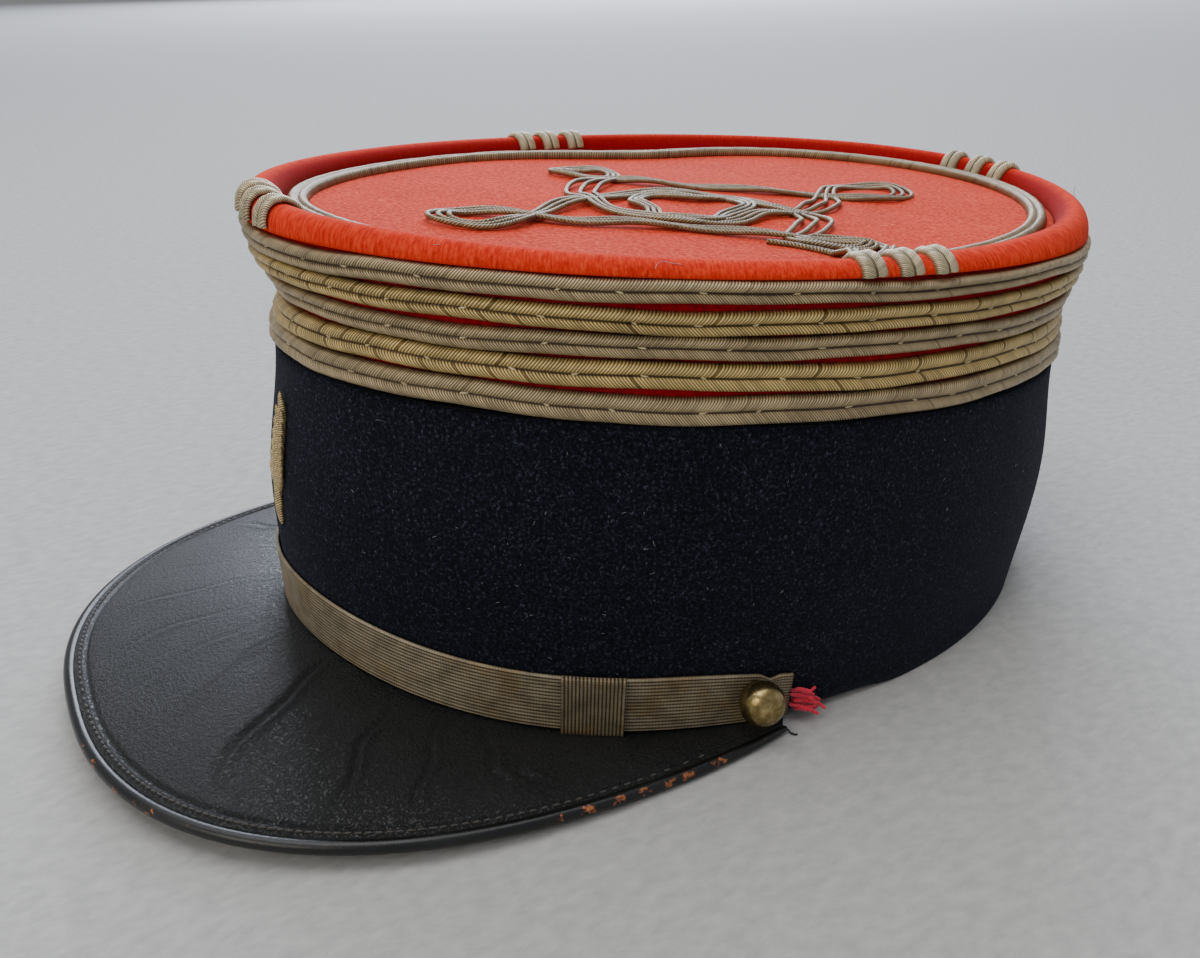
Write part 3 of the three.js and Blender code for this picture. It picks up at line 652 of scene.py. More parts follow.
def rollPoint(turn, share, swell):
    # the padded edge: share runs from its outer foot, 0, over the crest to its inner foot, 1
    angle = share * np.pi
    wobble = waves(turn, (2, 0.15, 0.5), (5, 0.2, 1.2), (9, 0.12, 0.3), (17, 0.06, 2.2)) * np.sin(angle)
    point = rimPoint(turn, rollShape["middle"] + (rollShape["halfWidth"] + swell) * np.cos(angle) + wobble)
    outerFoot = rimPoint(turn, 0 * share)[..., 2] + rollShape["gap"]
    foot = outerFoot + (plateHeight(point[..., 0], point[..., 1]) - outerFoot) * share
    rise = np.clip(np.sin(angle), 0, 1) ** rollShape["foot"]
    point[..., 2] = foot + (crestHeight(point[..., 0], point[..., 1]) - foot) * rise + swell * np.sin(angle)
    return point


def rollPlace(turn, side):
    under = 3
    top = rollShape["stepsAcross"] - under
    share = np.clip(side / top, 0, 1)
    point = rollPoint(turn, share, 0)
    step = np.clip(side - top, 0, under)
    inner = rollPoint(turn, np.ones_like(turn), 0)
    inner[..., 2] -= cloth
    seat = rimPoint(turn, -crownInset - cloth - 2 * rollShape["gap"])
    seat[..., 2] += rollShape["gap"]
    middle = (inner + seat) / 2
    for place, target in ((1, inner), (2, middle), (3, seat)):
        point = np.where((step == place)[:, None], target, point)
    arc, full = arcLength(turn, 3)
    # painted shade on the rim's inner face, growing towards its inner foot
    paintedShade = np.clip((share - 0.52) / 0.2, 0, 1) * 0.9
    return point, {"along": arc, "across": share * 12, "full": full, "paintedShade": paintedShade}


rimRoll = ringPiece("padded_rim", rollShape["stepsRound"], rollShape["stepsAcross"], rollPlace)
finish(rimRoll, woolRim, "crown_cloth", "rim_roll")


borderWave = {"turn": 258, "spread": 17, "depth": 9}


def borderInset(turn):
    # the border braid wanders inward on the right side, behind the three bars
    return borderWave["depth"] * bump(np.degrees(turn), borderWave["turn"], borderWave["spread"]) + waves(
        turn, (3, 0.3, 1.0), (6, 0.2, 0.2))


def makePlate():
    # an oval sheet of cloth: the torus pressed flat, its inner half drawn in to the middle
    plate = {"rings": 44, "spokes": 260, "edge": -8.0}
    rings = plate["rings"]
    piece, turn, side = torusSteps("flat_top", plate["spokes"], 2 * rings)
    upper = side < rings
    inward = np.where(upper, side, 2 * rings - 1 - side) / (rings - 1)
    edge = rimPoint(turn, plate["edge"])
    middle = np.array([0, wallRows[3]["centreY"], 0])
    points = edge + (middle - edge) * inward[:, None]
    x, y = points[:, 0], points[:, 1]
    swell = 0.3 * np.sin(x / 19 + 1) * np.sin(y / 27) + 0.15 * np.sin(x / 7.3) * np.sin(y / 9.1 + 2)
    points[:, 2] = plateHeight(x, y) + np.where(upper, swell * np.clip(4 * inward, 0, 1), -cloth)
    setCoordinates(piece, inFrame(points))
    bpy.ops.object.mode_set(mode="EDIT")
    bpy.ops.mesh.select_all(action="SELECT")
    bpy.ops.mesh.remove_doubles(threshold=0.00002)
    bpy.ops.object.mode_set(mode="OBJECT")
    smoothShade(piece)
    return piece


flatTop = makePlate()
finish(flatTop, woolTop, "crown_cloth", "top_plate")
print("rim and top made")


def ridgePair(share, groove):
    # section of a braid: two round ridges with a groove between them, 0 at the foot to 1 at the crest
    half = np.where(share < 0.5, share * 2, share * 2 - 1)
    ridge = np.sqrt(np.clip(1 - (2 * half - 1) ** 2, 0, 1))
    dome = 1 - np.abs(2 * share - 1) ** 6
    return ridge * (1 - groove) + groove * dome


def strandSwell(arc, across, pitch, slant):
    # each bunch of threads stands up a little from the ridge it crosses
    phase = (arc - np.abs(across) * slant) / pitch + np.where(across > 0, 0.5, 0)
    return np.abs(np.sin(np.pi * phase)) - 0.5


def braidPlace(braid):
    steps = braidShape["stepsAcross"]
    front = steps - 3
    foot, head = braid["foot"], braid["head"]

    def place(turn, side):
        share = np.clip(side / (front - 1), 0, 1)
        arc, full = arcLength(turn, 2.5)
        across = (share - 0.5) * (head - foot) * braidShape["levelHeight"]
        ridge = ridgePair(share, braidShape["fill"])
        swell = strandSwell(arc, across, braid["pitch"], braidShape["slant"]) * np.clip(ridge * 2, 0, 1)
        wander = 0.01 * waves(turn, (4, 1.0, foot * 20), (9, 0.7, head * 9), (21, 0.35, foot * 50))
        gape = braid.get("gape", 0) * bump(np.degrees(turn), 105, 30) * (1 - share)
        slack = waves(turn, (5, 0.1, foot * 31), (13, 0.08, head * 17), (37, 0.05, foot * 7))
        back = side >= front
        share = np.where(back, 1 - (side - front + 1) / (steps - front + 1), share)
        depth = (braidShape["depth"] + slack) * ridge + braidShape["swell"] * swell
        offset = -crownInset + np.where(back, 0.1, 0.15 + depth)
        level = 2 + foot + (head - foot) * share + wander + gape
        return wallPoint(turn, level, offset), {"along": arc, "across": across, "full": full}

    return place


crownBraids = [
    # from the lowest row up: where each starts and ends in the crown's level, and its bunches' spacing in mm
    {"number": 5, "foot": 0.0, "head": 0.205, "metal": silver, "slot": "silver_braid", "pitch": 2.9},
    {"number": 4, "foot": 0.222, "head": 0.418, "metal": gilt, "slot": "gold_braid", "pitch": 3.3},
    {"number": 3, "foot": 0.434, "head": 0.612, "metal": silver, "slot": "silver_braid", "pitch": 2.9},
    {"number": 2, "foot": 0.629, "head": 0.805, "metal": gilt, "slot": "gold_braid", "pitch": 3.3},
    {
        "number": 1, "foot": 0.822, "head": 0.995, "metal": silver, "slot": "silver_braid", "pitch": 2.9,
        "gape": 0.03},  # it stands away from the next row on the left
]
braidShape = {
    "stepsRound": 2500, "stepsAcross": 20, "slant": 0.85,
    "depth": 2.1, "swell": 0.1, "fill": 0.4, "levelHeight": 27,
}
for braid in crownBraids:
    name = "braid_row_%d" % braid["number"]
    ring = ringPiece(name, braidShape["stepsRound"], braidShape["stepsAcross"], braidPlace(braid))
    finish(ring, braid["metal"], braid["slot"], "crown_braid_%d" % braid["number"])
print("crown braids made")

borderShape = {
    "outer": -9.1, "width": 4.6, "height": 1.9, "fill": 0.62,
    "pitch": 2.9, "slant": 0.85, "stepsRound": 1900, "stepsAcross": 16,
}


def borderPlace(turn, side):
    steps = borderShape["stepsAcross"]
    front = steps - 3
    share = np.clip(side / (front - 1), 0, 1)
    arc, full = arcLength(turn, 3)
    across = (share - 0.5) * borderShape["width"]
    ridge = ridgePair(share, borderShape["fill"])
    swell = strandSwell(arc, across, borderShape["pitch"], borderShape["slant"]) * ridge
    back = side >= front
    share = np.where(back, 1 - (side - front + 1) / (steps - front + 1), share)
    offset = borderShape["outer"] - borderShape["width"] * share - borderInset(turn)
    lift = np.where(back, -0.3, 0.1 + borderShape["height"] * ridge + 0.08 * swell)
    return topPoint(turn, offset, lift), {"along": arc, "across": across, "full": full}


border = ringPiece("top_border", borderShape["stepsRound"], borderShape["stepsAcross"], borderPlace)
finish(border, cordSilver, "silver_braid", "top_border_braid")
print("border braid made")


def stitchBase(length, radius):
    # one short stitch lying along x: a stretched ball of a few dozen faces
    deselectAll()
    bpy.ops.mesh.primitive_uv_sphere_add(
        segments=8, ring_count=5, radius=radius * mm, rotation=(0, math.pi / 2, 0))
    piece = named("stitch")
    bpy.ops.object.transform_apply(location=True, rotation=True, scale=True)
    points = coordinates(piece)
    points[:, 0] *= length / (2 * radius)
    setCoordinates(piece, points)
    return piece


def frameAt(here, ahead, facing, tilt):
    # the turn that lays x along a run and z outward, leaned by tilt in the surface
    x = (ahead - here) / np.linalg.norm(ahead - here)
    z = facing - x * (facing @ x)
    z /= np.linalg.norm(z)
    y = np.cross(z, x)
    leanedX = x * math.cos(tilt) + y * math.sin(tilt)
    leanedY = y * math.cos(tilt) - x * math.sin(tilt)
    return np.stack([leanedX, leanedY, z], -1)


def braidStitches():
    shape = {"every": 8.5, "length": 1.9, "radius": 0.28, "out": 1.3}
    places = []
    for braid in crownBraids:
        middle = 2 + (braid["foot"] + braid["head"]) / 2
        turn = math.radians(4) + braid["foot"]
        while turn < 2 * math.pi - math.radians(4) + braid["foot"]:
            turns = np.array([turn, turn + 0.01])
            wander = 0.01 * waves(turns, (4, 1.0, braid["foot"] * 20), (9, 0.7, braid["head"] * 9))
            spots = wallPoint(turns, middle + wander, shape["out"] - crownInset)
            turnTo = frameAt(spots[0], spots[1], outward(wallRows[3], turns)[0], random.uniform(-0.7, 0.7))
            places.append((turnTo, inFrame(spots[0])))
            turn += math.radians(shape["every"] * random.uniform(0.7, 1.3))
    return copiesOf("braid_stitches", stitchBase(shape["length"], shape["radius"]), places)


finish(braidStitches(), brightWire, "gold_braid")
print("braid stitches made")


def gridTube(name, alongSteps, aroundSteps, place):
    # a closed bar: a flat grid rolled up to where place() says, its seam merged and its ends filled
    deselectAll()
    bpy.ops.mesh.primitive_grid_add(
        x_subdivisions=alongSteps, y_subdivisions=aroundSteps, size=1, calc_uvs=False)
    piece = named(name)
    start = coordinates(piece)
    along = start[:, 0] + 0.5
    around = start[:, 1] + 0.5
    points, attributes = place(along, around)
    setCoordinates(piece, inFrame(points))
    layAttributes(piece, attributes)
    bpy.ops.object.mode_set(mode="EDIT")
    bpy.ops.mesh.select_all(action="SELECT")
    bpy.ops.mesh.remove_doubles(threshold=0.000004)
    bpy.ops.mesh.select_all(action="DESELECT")
    bpy.ops.mesh.select_non_manifold()
    bpy.ops.mesh.fill_holes(sides=0)
    bpy.ops.mesh.select_all(action="SELECT")
    bpy.ops.mesh.normals_make_consistent(inside=False)
    bpy.ops.object.mode_set(mode="OBJECT")
    smoothShade(piece)
    return piece


tieShape = {
    "width": 5.4, "thickness": 1.3, "from": 0.03, "to": 0.93, "length": 19, "faceShare": 0.78, "fill": 0.3,
    "pitch": 3.3, "slant": 0.85, "swell": 0.1, "alongSteps": 80, "aroundSteps": 26,
}
tieSets = [
    {"side": "front", "angles": (353.2, 0, 6.8)},
    {"side": "left", "angles": (84.6, 89.3, 94)},
    {"side": "back", "angles": (173.4, 180, 186.6)},
    {"side": "right", "angles": (266, 270.7, 275.4)},
]


def tiePlace(angle):
    turn = math.radians(angle)
    facing = outward(wallRows[3], np.array([turn]))[0]
    sideways = np.array([-facing[1], facing[0], 0])

    def place(along, around):
        faceShare = tieShape["faceShare"]
        share = tieShape["from"] + (tieShape["to"] - tieShape["from"]) * along
        face = np.clip(around / faceShare, 0, 1)
        back = around > faceShare
        spread = np.where(back, 1 - (around - faceShare) / (1 - faceShare), face)
        ridge = ridgePair(face, tieShape["fill"])
        across = (face - 0.5) * tieShape["width"]
        run = along * tieShape["length"]
        swell = strandSwell(run, across, tieShape["pitch"], tieShape["slant"]) * ridge
        grow = np.where(back, 0.1, 0.12 + tieShape["thickness"] * ridge + tieShape["swell"] * swell)
        points = rollPoint(np.full_like(share, turn), share, grow)
        points = points + sideways * ((spread - 0.5) * tieShape["width"])[:, None]
        return points, {"along": run, "across": across}

    return place


for tieSet in tieSets:
    for number, angle in enumerate(tieSet["angles"], 1):
        ending = "%s_%d" % (tieSet["side"], number)
        bar = gridTube("rim_bar_" + ending, tieShape["alongSteps"], tieShape["aroundSteps"], tiePlace(angle))
        finish(bar, paleSilver, "silver_braid", "rim_tie_" + ending)
print("rim ties made")


knotShape = {"cord": 0.56, "lift": 0.55, "weave": 0.36, "climb": 2.3, "perSpan": 12, "aroundSteps": 8}
# middle lines of the knot in mm on the top: x, y and how far apart the three cords lie there
frontAndNear = [
    (-1, -23, 1.9), (4, -34, 1.6), (11, -43, 1.3), (17, -51, 1.5), (18, -59, 1.7), (12, -65, 2.3),
    (6, -62, 2.0), (6, -54, 1.5), (12, -46, 1.2), (19, -37, 1.3), (24, -27, 1.3), (30, -17, 1.3),
    (37, -8, 1.2), (44, 1, 1.1), (50, 9, 1.0), (54, 13, 1.3), (55, 8, 1.3), (50, 1, 1.2),
    (44, 1, 1.9), (39, 9, 3.2), (33, 16, 3.2), (25, 17, 2.0), (16, 13, 1.4), (6, 10, 1.4),
    (-1, 3, 1.5), (-4, -8, 1.6),
]
farAndBack = [
    (-1, -23, 2.0), (-8, -22, 3.2), (-16, -16, 3.3), (-21, -8, 2.0), (-27, -2, 1.4), (-34, -3, 1.7),
    (-38, -9, 2.2), (-35, -14, 1.9), (-28, -11, 1.5), (-21, -3, 1.3), (-15, 4, 1.3), (-8, 12, 1.3),
    (0, 23, 1.3), (7, 33, 1.2), (15, 42, 1.4), (18, 51, 1.9), (14, 60, 2.3), (7, 61, 2.3),
    (3, 54, 1.9), (4, 45, 1.5), (10, 38, 1.9), (17, 32, 3.3), (22, 25, 3.3), (24, 18, 2.0),
    (24, 8, 1.5), (28, -2, 1.5), (27, -12, 1.5), (20, -20, 1.5), (9, -24, 1.6),
]
heart = [
    (13, -15, 1.4), (20, -17, 1.3), (26, -8, 1.3), (21, 0, 1.4), (17, 9, 1.3), (7, 11, 1.3),
    (5, 2, 1.4), (-2, -6, 1.3), (4, -14, 1.3),
]
tails = [
    [(45, -6), (50, -2), (57, 1), (63, 0), (69, -4)],
    [(44, 7), (49, 14), (56, 15), (63, 10), (68, 3), (71, -4)],
]


def smoothLine(points, perSpan, closed):
    # a smooth line through given points
    points = np.array(points, float)
    count = len(points)
    out = []
    for i in range(count if closed else count - 1):
        if closed:
            a, b, c, d = (points[(i + step) % count] for step in (-1, 0, 1, 2))
        else:
            a, b, c, d = (points[min(max(i + step, 0), count - 1)] for step in (-1, 0, 1, 2))
        for step in range(perSpan):
            s = step / perSpan
            bend = (2 * a - 5 * b + 4 * c - d) * s * s
            twist = (3 * b - a - 3 * c + d) * s ** 3
            out.append(0.5 * (2 * b + (c - a) * s + bend + twist))
    if not closed:
        out.append(points[-1])
    return np.array(out)


def cordMesh(path, radius, closed, sides):
    # a round cord along a path in mm, with its own map of length and way round
    ahead = np.roll(path, -1, 0) - np.roll(path, 1, 0)
    if not closed:
        ahead[0] = path[1] - path[0]
        ahead[-1] = path[-1] - path[-2]
    ahead /= np.linalg.norm(ahead, axis=1)[:, None]
    across = np.cross(ahead, np.array([0, 0, 1.0]))
    across /= np.linalg.norm(across, axis=1)[:, None]
    above = np.cross(across, ahead)
    angle = np.arange(sides) * 2 * np.pi / sides
    rings = path[:, None] + radius * (
        across[:, None] * np.cos(angle)[None, :, None] + above[:, None] * np.sin(angle)[None, :, None])
    count = len(path)
    faces = []
    for i in range(count if closed else count - 1):
        here, after = i * sides, (i + 1) % count * sides
        for k in range(sides):
            faces.append([here + k, here + (k + 1) % sides, after + (k + 1) % sides, after + k])
    if not closed:
        faces.append(list(range(sides))[::-1])
        faces.append([(count - 1) * sides + k for k in range(sides)])
    steps = np.linalg.norm(np.diff(path, axis=0), axis=1)
    run = np.concatenate([[0], np.cumsum(steps)])
    around = np.tile(radius * (angle - np.pi / 2), count)
    return rings.reshape(-1, 3), faces, np.repeat(run, sides), around


def cordPiece(name, cords):
    # one piece from many cords made by cordMesh
    points, faces, along, across = [], [], [], []
    start = 0
    for ringPoints, ringFaces, run, way in cords:
        points.append(ringPoints)
        faces += [[start + index for index in face] for face in ringFaces]
        along.append(run)
        across.append(way)
        start += len(ringPoints)
    piece = meshPiece(name, inFrame(np.concatenate(points)), faces)
    lap = 60  # a face that spans more of the map than half of this, in mm, is where a loop meets itself
    threadMap(piece, np.concatenate(along), np.concatenate(across), lap, 2 * np.pi * knotShape["cord"])
    return piece


def onPlate(x, y, lift):
    return np.stack([x, y, plateHeight(x, y) + lift], -1)


def makeKnot():
    cords = []
    for line, shift in ((frontAndNear, 0.0), (farAndBack, 1.6), (heart, 3.0)):
        smooth = smoothLine(line, knotShape["perSpan"], True)
        ahead = np.roll(smooth, -1, 0) - np.roll(smooth, 1, 0)
        side = np.stack([-ahead[:, 1], ahead[:, 0]], -1) / np.linalg.norm(ahead[:, :2], axis=1)[:, None]
        run = np.linspace(0, 2 * np.pi, len(smooth), endpoint=False)
        for strand in (-1, 0, 1):
            path = smooth[:, :2] + side * (strand * smooth[:, 2])[:, None]
            weave = knotShape["weave"] * np.sin(run * round(len(line) / 2.4) + strand * 0.5 + shift)
            spots = onPlate(path[:, 0], path[:, 1], knotShape["lift"] + knotShape["weave"] + weave)
            cords.append(cordMesh(spots, knotShape["cord"], True, knotShape["aroundSteps"]))
    for line in tails:
        smooth = smoothLine(line, knotShape["perSpan"], False)
        for strand in (-0.7, 0.7):
            path = smooth + np.array([strand * 0.6, strand * 0.9])
            climb = knotShape["climb"] * np.clip((smooth[:, 0] - 57) / 6, 0, 1)  # over the border braid
            spots = onPlate(path[:, 0], path[:, 1], knotShape["lift"] + climb)
            cords.append(cordMesh(spots, knotShape["cord"], False, knotShape["aroundSteps"]))
    return cordPiece("knot_cords", cords)


knotCords = makeKnot()
finish(knotCords, cordSilver, "silver_braid", "top_knot")
print("knot made")


peakShape = {
    "halfWidth": 82.3, "centreY": -51, "reach": 103, "roundness": 2.41, "endTurn": 101.5, "bandTurn": 80,
    "thickness": 1.2, "edgeHeight": 1.7, "tipRise": 4.6, "crown": 0.05, "binding": 1.4,
    "alongSteps": 460, "aroundSteps": 160, "tuck": 0.08, "mapHalfWidth": 110, "mapReach": 55,
}


def peakOutline(turnDegrees, inset):
    turn = np.radians(turnDegrees)
    power = 2 / peakShape["roundness"]
    aside, ahead = np.sin(turn), np.cos(turn)
    x = (peakShape["halfWidth"] - inset) * np.sign(aside) * np.abs(aside) ** power
    y = peakShape["centreY"] - (peakShape["reach"] - inset) * np.sign(ahead) * np.abs(ahead) ** power
    forward = np.clip((peakShape["centreY"] - y) / peakShape["reach"], 0, 1)
    return np.stack([x, y, peakShape["edgeHeight"] + peakShape["tipRise"] * forward], -1)


def peakPoint(station, share, drop):
    # station runs -1 to 1 from the right end to the left, share 0 to 1 from the band to the bound edge
    turn = np.radians(station * peakShape["bandTurn"])
    seam = wallPoint(turn, 0, 0.3)
    seam[..., 2] = bandEdgeHeight(turn) - 0.3
    edge = peakOutline(station * peakShape["endTurn"], peakShape["binding"] - 0.3)
    edge[..., 2] += peakShape["thickness"] / 2
    width = np.linalg.norm(edge - seam, axis=-1)
    out = np.clip(share, 0, 1)
    point = seam + (edge - seam) * out[..., None]
    inner = wallPoint(turn, 0, -cloth + share * 20)
    inner[..., 2] = bandEdgeHeight(turn) - 0.3
    point = np.where((share < 0)[..., None], inner, point)
    point[..., 2] += peakShape["crown"] * width * 4 * out * (1 - out) - drop
    return point, width


creases = [
    # where each fold in the leather starts and ends: station and share, its depth and width in mm
    {"from": (0.2, 0.04), "to": (0.295, 0.84), "depth": 1.0, "width": 1.1},
    {"from": (0.385, 0.16), "to": (0.49, 0.83), "depth": 0.8, "width": 0.8},
    {"from": (0.47, 0.08), "to": (0.59, 0.8), "depth": 0.6, "width": 0.7},
    {"from": (0.545, 0.1), "to": (0.665, 0.62), "depth": 0.5, "width": 1.0},
    {"from": (0.635, 0.33), "to": (0.71, 0.66), "depth": 0.4, "width": 0.9},
    {"from": (0.06, 0.05), "to": (0.13, 0.7), "depth": 0.25, "width": 0.8},
    {"from": (-0.08, 0.05), "to": (-0.06, 0.8), "depth": 0.2, "width": 0.8},
    {"from": (-0.2, 0.05), "to": (-0.19, 0.75), "depth": 0.18, "width": 0.8},
    {"from": (0.0, 0.1), "to": (0.03, 0.8), "depth": 0.22, "width": 0.8},
    {"from": (-0.5, 0.1), "to": (-0.55, 0.7), "depth": 0.4, "width": 1.0},
]
welt = {"inset": 3.0, "groove": 0.45, "grooveWidth": 0.4, "raise": 0.25}


def peakRelief(station, share, width):
    # folds drawn outward from the band, and the turned welt with its groove inside the bound edge
    out = 0 * station
    for fold in creases:
        (startAt, startShare), (endAt, endShare) = fold["from"], fold["to"]
        run = np.clip((share - startShare) / (endShare - startShare), 0, 1)
        middle = startAt + (endAt - startAt) * run + 0.006 * np.sin(run * 9 + startAt * 20)
        away = (station - middle) * 150
        strong = np.sin(np.pi * run) ** 0.5
        out = out - fold["depth"] * strong * np.exp(-(away / fold["width"]) ** 2)
        ridge = (away - 2 * fold["width"]) / fold["width"]
        out = out + 0.7 * fold["depth"] * strong * np.exp(-ridge ** 2)
    fromEdge = (1 - share) * width
    roomy = np.clip((width - 8) / 8, 0, 1)
    out = out - roomy * welt["groove"] * np.exp(-((fromEdge - welt["inset"]) / welt["grooveWidth"]) ** 2)
    outer = np.clip((welt["inset"] - 0.4 - fromEdge) / 0.5, 0, 1) * (fromEdge > 0.2)
    return out + roomy * welt["raise"] * outer


def makePeak():
    # the leather runs from a tuck inside the band out to the bound edge, and back under itself
    tuck = peakShape["tuck"]

    def place(along, around):
        station = along * 2 - 1
        upper = around <= 0.5
        way = np.where(upper, around * 2, 2 - around * 2)
        share = np.where(way < tuck, way / tuck * 0.1 - 0.1, 1 - (1 - (way - tuck) / (1 - tuck)) ** 1.7)
        drop = np.where(upper, 0, peakShape["thickness"])
        points, width = peakPoint(station, share, drop)
        points[:, 2] += np.where(upper & (share > 0), peakRelief(station, share, width), 0)
        return points, {"along": station * peakShape["mapHalfWidth"], "across": share * peakShape["mapReach"]}

    return gridTube("leather_peak", peakShape["alongSteps"], peakShape["aroundSteps"], place)


peak = makePeak()
finish(peak, leather, "peak_leather", "peak")


def makeBinding():
    # a rolled leather edge that thins to its two ends, and is rubbed most on its outer side
    shape = {"alongSteps": 420, "aroundSteps": 20, "mapHalfLength": 180}

    def place(along, around):
        station = along * 2 - 1
        centre = peakOutline(station * peakShape["endTurn"], 0.3)
        centre[:, 2] -= 0.3
        ahead = peakOutline((station + 0.002) * peakShape["endTurn"], 0)
        behind = peakOutline((station - 0.002) * peakShape["endTurn"], 0)
        sideways = np.stack([ahead[:, 1] - behind[:, 1], behind[:, 0] - ahead[:, 0], 0 * along], -1)
        sideways /= np.linalg.norm(sideways, axis=1)[:, None]
        angle = around * 2 * np.pi
        taper = np.clip((1 - np.abs(station)) / 0.1, 0.02, 1) ** 0.5
        radius = peakShape["binding"] * (0.3 + 0.7 * taper)
        points = centre + sideways * (radius * np.cos(angle))[:, None]
        points[:, 2] += radius * np.sin(angle)
        wear = np.clip(np.cos(angle - 0.5) * 1.15, 0, 1) * (0.8 + 0.2 * np.sin(station * 9))
        return points, {"along": station * shape["mapHalfLength"], "across": angle, "wear": wear}

    return gridTube("peak_edge_binding", shape["alongSteps"], shape["aroundSteps"], place)


binding = makeBinding()
finish(binding, edgeLeather, "peak_leather", "peak_binding")


def peakStitches():
    # a row of waxed stitches along the turned welt
    shape = {"from": -0.9, "to": 0.9, "count": 150, "fromEdge": 1.5, "length": 1.5, "radius": 0.24}
    places = []
    for station in np.linspace(shape["from"], shape["to"], shape["count"]):
        stations = np.array([station, station + 0.004])
        width = peakPoint(stations, np.ones(2), np.zeros(2))[1]
        spots, width = peakPoint(stations, 1 - shape["fromEdge"] / width, np.zeros(2))
        turnTo = frameAt(spots[0], spots[1], np.array([0, 0, 1.0]), random.uniform(-0.08, 0.08))
        places.append((turnTo, inFrame(spots[0] + np.array([0, 0, 0.3]))))
    return copiesOf("peak_stitches", stitchBase(shape["length"], shape["radius"]), places)


finish(peakStitches(), waxedThread, "peak_leather")
print("peak made")


strapShape = {
    "foot": 0.2, "head": 14, "from": -80.4, "to": 80.4, "thickness": 0.8, "inside": 0.3,
    "ribs": 16, "ribDepth": 0.2, "hem": 0,
}
slideShape = {
    "foot": -0.5, "head": 15.1, "middle": 55.8, "halfTurn": 3.9, "thickness": 0.8, "inside": 1.35,
    "ribs": 17, "ribDepth": 0.25, "hem": 0.3,
}
stripShape = {"faceShare": 0.8, "perDegree": 1.5, "mapWidth": 15, "fold": 0.25}


def strapSag(turn, across):
    # the strap's ends droop and pucker where the button pulls them
    away = np.abs(np.degrees(turn))
    share = np.clip((away - 64) / 16, 0, 1)
    sag = share * share * (0.9 + 2.4 * across)
    notch = 1.1 * bump(away, 77.4, 0.9) * np.clip(across * 4 - 3, 0, 1)
    return sag + notch


def stripPlace(shape, ribsAlong):
    # a flat woven strip on the foot of the band, with its ribs raised on the outer face
    faceShare, fold = stripShape["faceShare"], stripShape["fold"]

    def place(along, around):
        turn = np.radians(shape["from"] + (shape["to"] - shape["from"]) * along)
        face = np.clip(around / faceShare, 0, 1)
        back = around > faceShare
        across = np.where(back, 1 - (around - faceShare) / (1 - faceShare), face)
        height = shape["foot"] + (shape["head"] - shape["foot"]) * across - strapSag(turn, across)
        ribAt = shape["ribs"] * (along if ribsAlong else face)
        rib = np.abs(np.sin(np.pi * ribAt))
        edge = np.clip(np.minimum(face, 1 - face) * 30, 0, 1)
        length = (shape["to"] - shape["from"]) * stripShape["perDegree"] * along
        outside = shape["inside"] + fold + (shape["thickness"] - fold) * edge
        offset = np.where(back, shape["inside"], outside)
        offset = offset + np.where(back, 0, shape["ribDepth"] * (rib ** 0.7 - 0.5) * edge)
        hem = np.clip(1 - np.minimum(along, 1 - along) * 16, 0, 1) * shape["hem"]
        offset = offset + np.where(back, 0, hem * edge)
        run = face * stripShape["mapWidth"] if ribsAlong else length
        return wallPoint(turn, levelAtHeight(turn, height), offset), {"along": run, "across": ribAt}

    return place


strap = gridTube("lace_strap", 420, 110, stripPlace(strapShape, False))
finish(strap, lace, "strap_lace", "chin_strap")

for side, sign in (("left", 1), ("right", -1)):
    middle, halfTurn = sign * slideShape["middle"], slideShape["halfTurn"]
    slideShape.update({"from": middle - halfTurn, "to": middle + halfTurn})
    slide = gridTube("lace_slide_" + side, 140, 24, stripPlace(slideShape, True))
    finish(slide, lace, "strap_lace", "strap_slide_" + side)
print("strap made")


def makeButton(side, sign):
    # a short shank spun out into a hollow dome, with its widest place at the middle height
    shape = {
        "turn": 75.5, "height": 8, "radius": 4.9, "rise": 8.4, "offset": 1.6,
        "shankRadius": 3.0, "shankHeight": 1.2, "middle": 3.9, "startAngle": -0.75, "steps": 13,
    }
    turn = math.radians(sign * shape["turn"])
    spot = wallPoint(np.array([turn]), levelAtHeight(np.array([turn]), shape["height"]), shape["offset"])[0]
    facing = outward(wallRows[0], np.array([turn]))[0]
    deselectAll()
    radius, height = shape["shankRadius"], shape["shankHeight"]
    bpy.ops.mesh.primitive_cylinder_add(
        vertices=48, radius=radius * mm, depth=height * mm, location=(0, 0, height / 2 * mm))
    piece = named("brass_button_" + side)
    bpy.ops.object.transform_apply(location=True, rotation=True, scale=True)
    bpy.ops.object.mode_set(mode="EDIT")
    bpy.ops.mesh.select_all(action="DESELECT")
    bpy.ops.object.mode_set(mode="OBJECT")
    for face in piece.data.polygons:
        face.select = face.normal.z > 0.9
    bpy.ops.object.mode_set(mode="EDIT")
    for step in range(1, shape["steps"]):
        angle = shape["startAngle"] + (math.pi / 2 - shape["startAngle"]) * step / shape["steps"]
        nextRadius = shape["radius"] * math.cos(angle)
        nextHeight = shape["middle"] + (shape["rise"] - shape["middle"]) * math.sin(angle)
        lift = (0, 0, (nextHeight - height) * mm)
        bpy.ops.mesh.extrude_region_move(TRANSFORM_OT_translate={"value": lift})
        scale = nextRadius / radius
        bpy.ops.transform.resize(value=(scale, scale, 1), center_override=(0, 0, 0))
        radius, height = nextRadius, nextHeight
    bpy.ops.object.mode_set(mode="OBJECT")
    points = coordinates(piece)
    turnTo = np.array(Vector(facing).to_track_quat("Z", "Y").to_matrix())
    setCoordinates(piece, points @ turnTo.T + inFrame(spot))
    smoothShade(piece)
    return piece


for side, sign in (("left", 1), ("right", -1)):
    button = makeButton(side, sign)
    finish(button, brass, "button_brass", "strap_button_" + side)
print("buttons made")


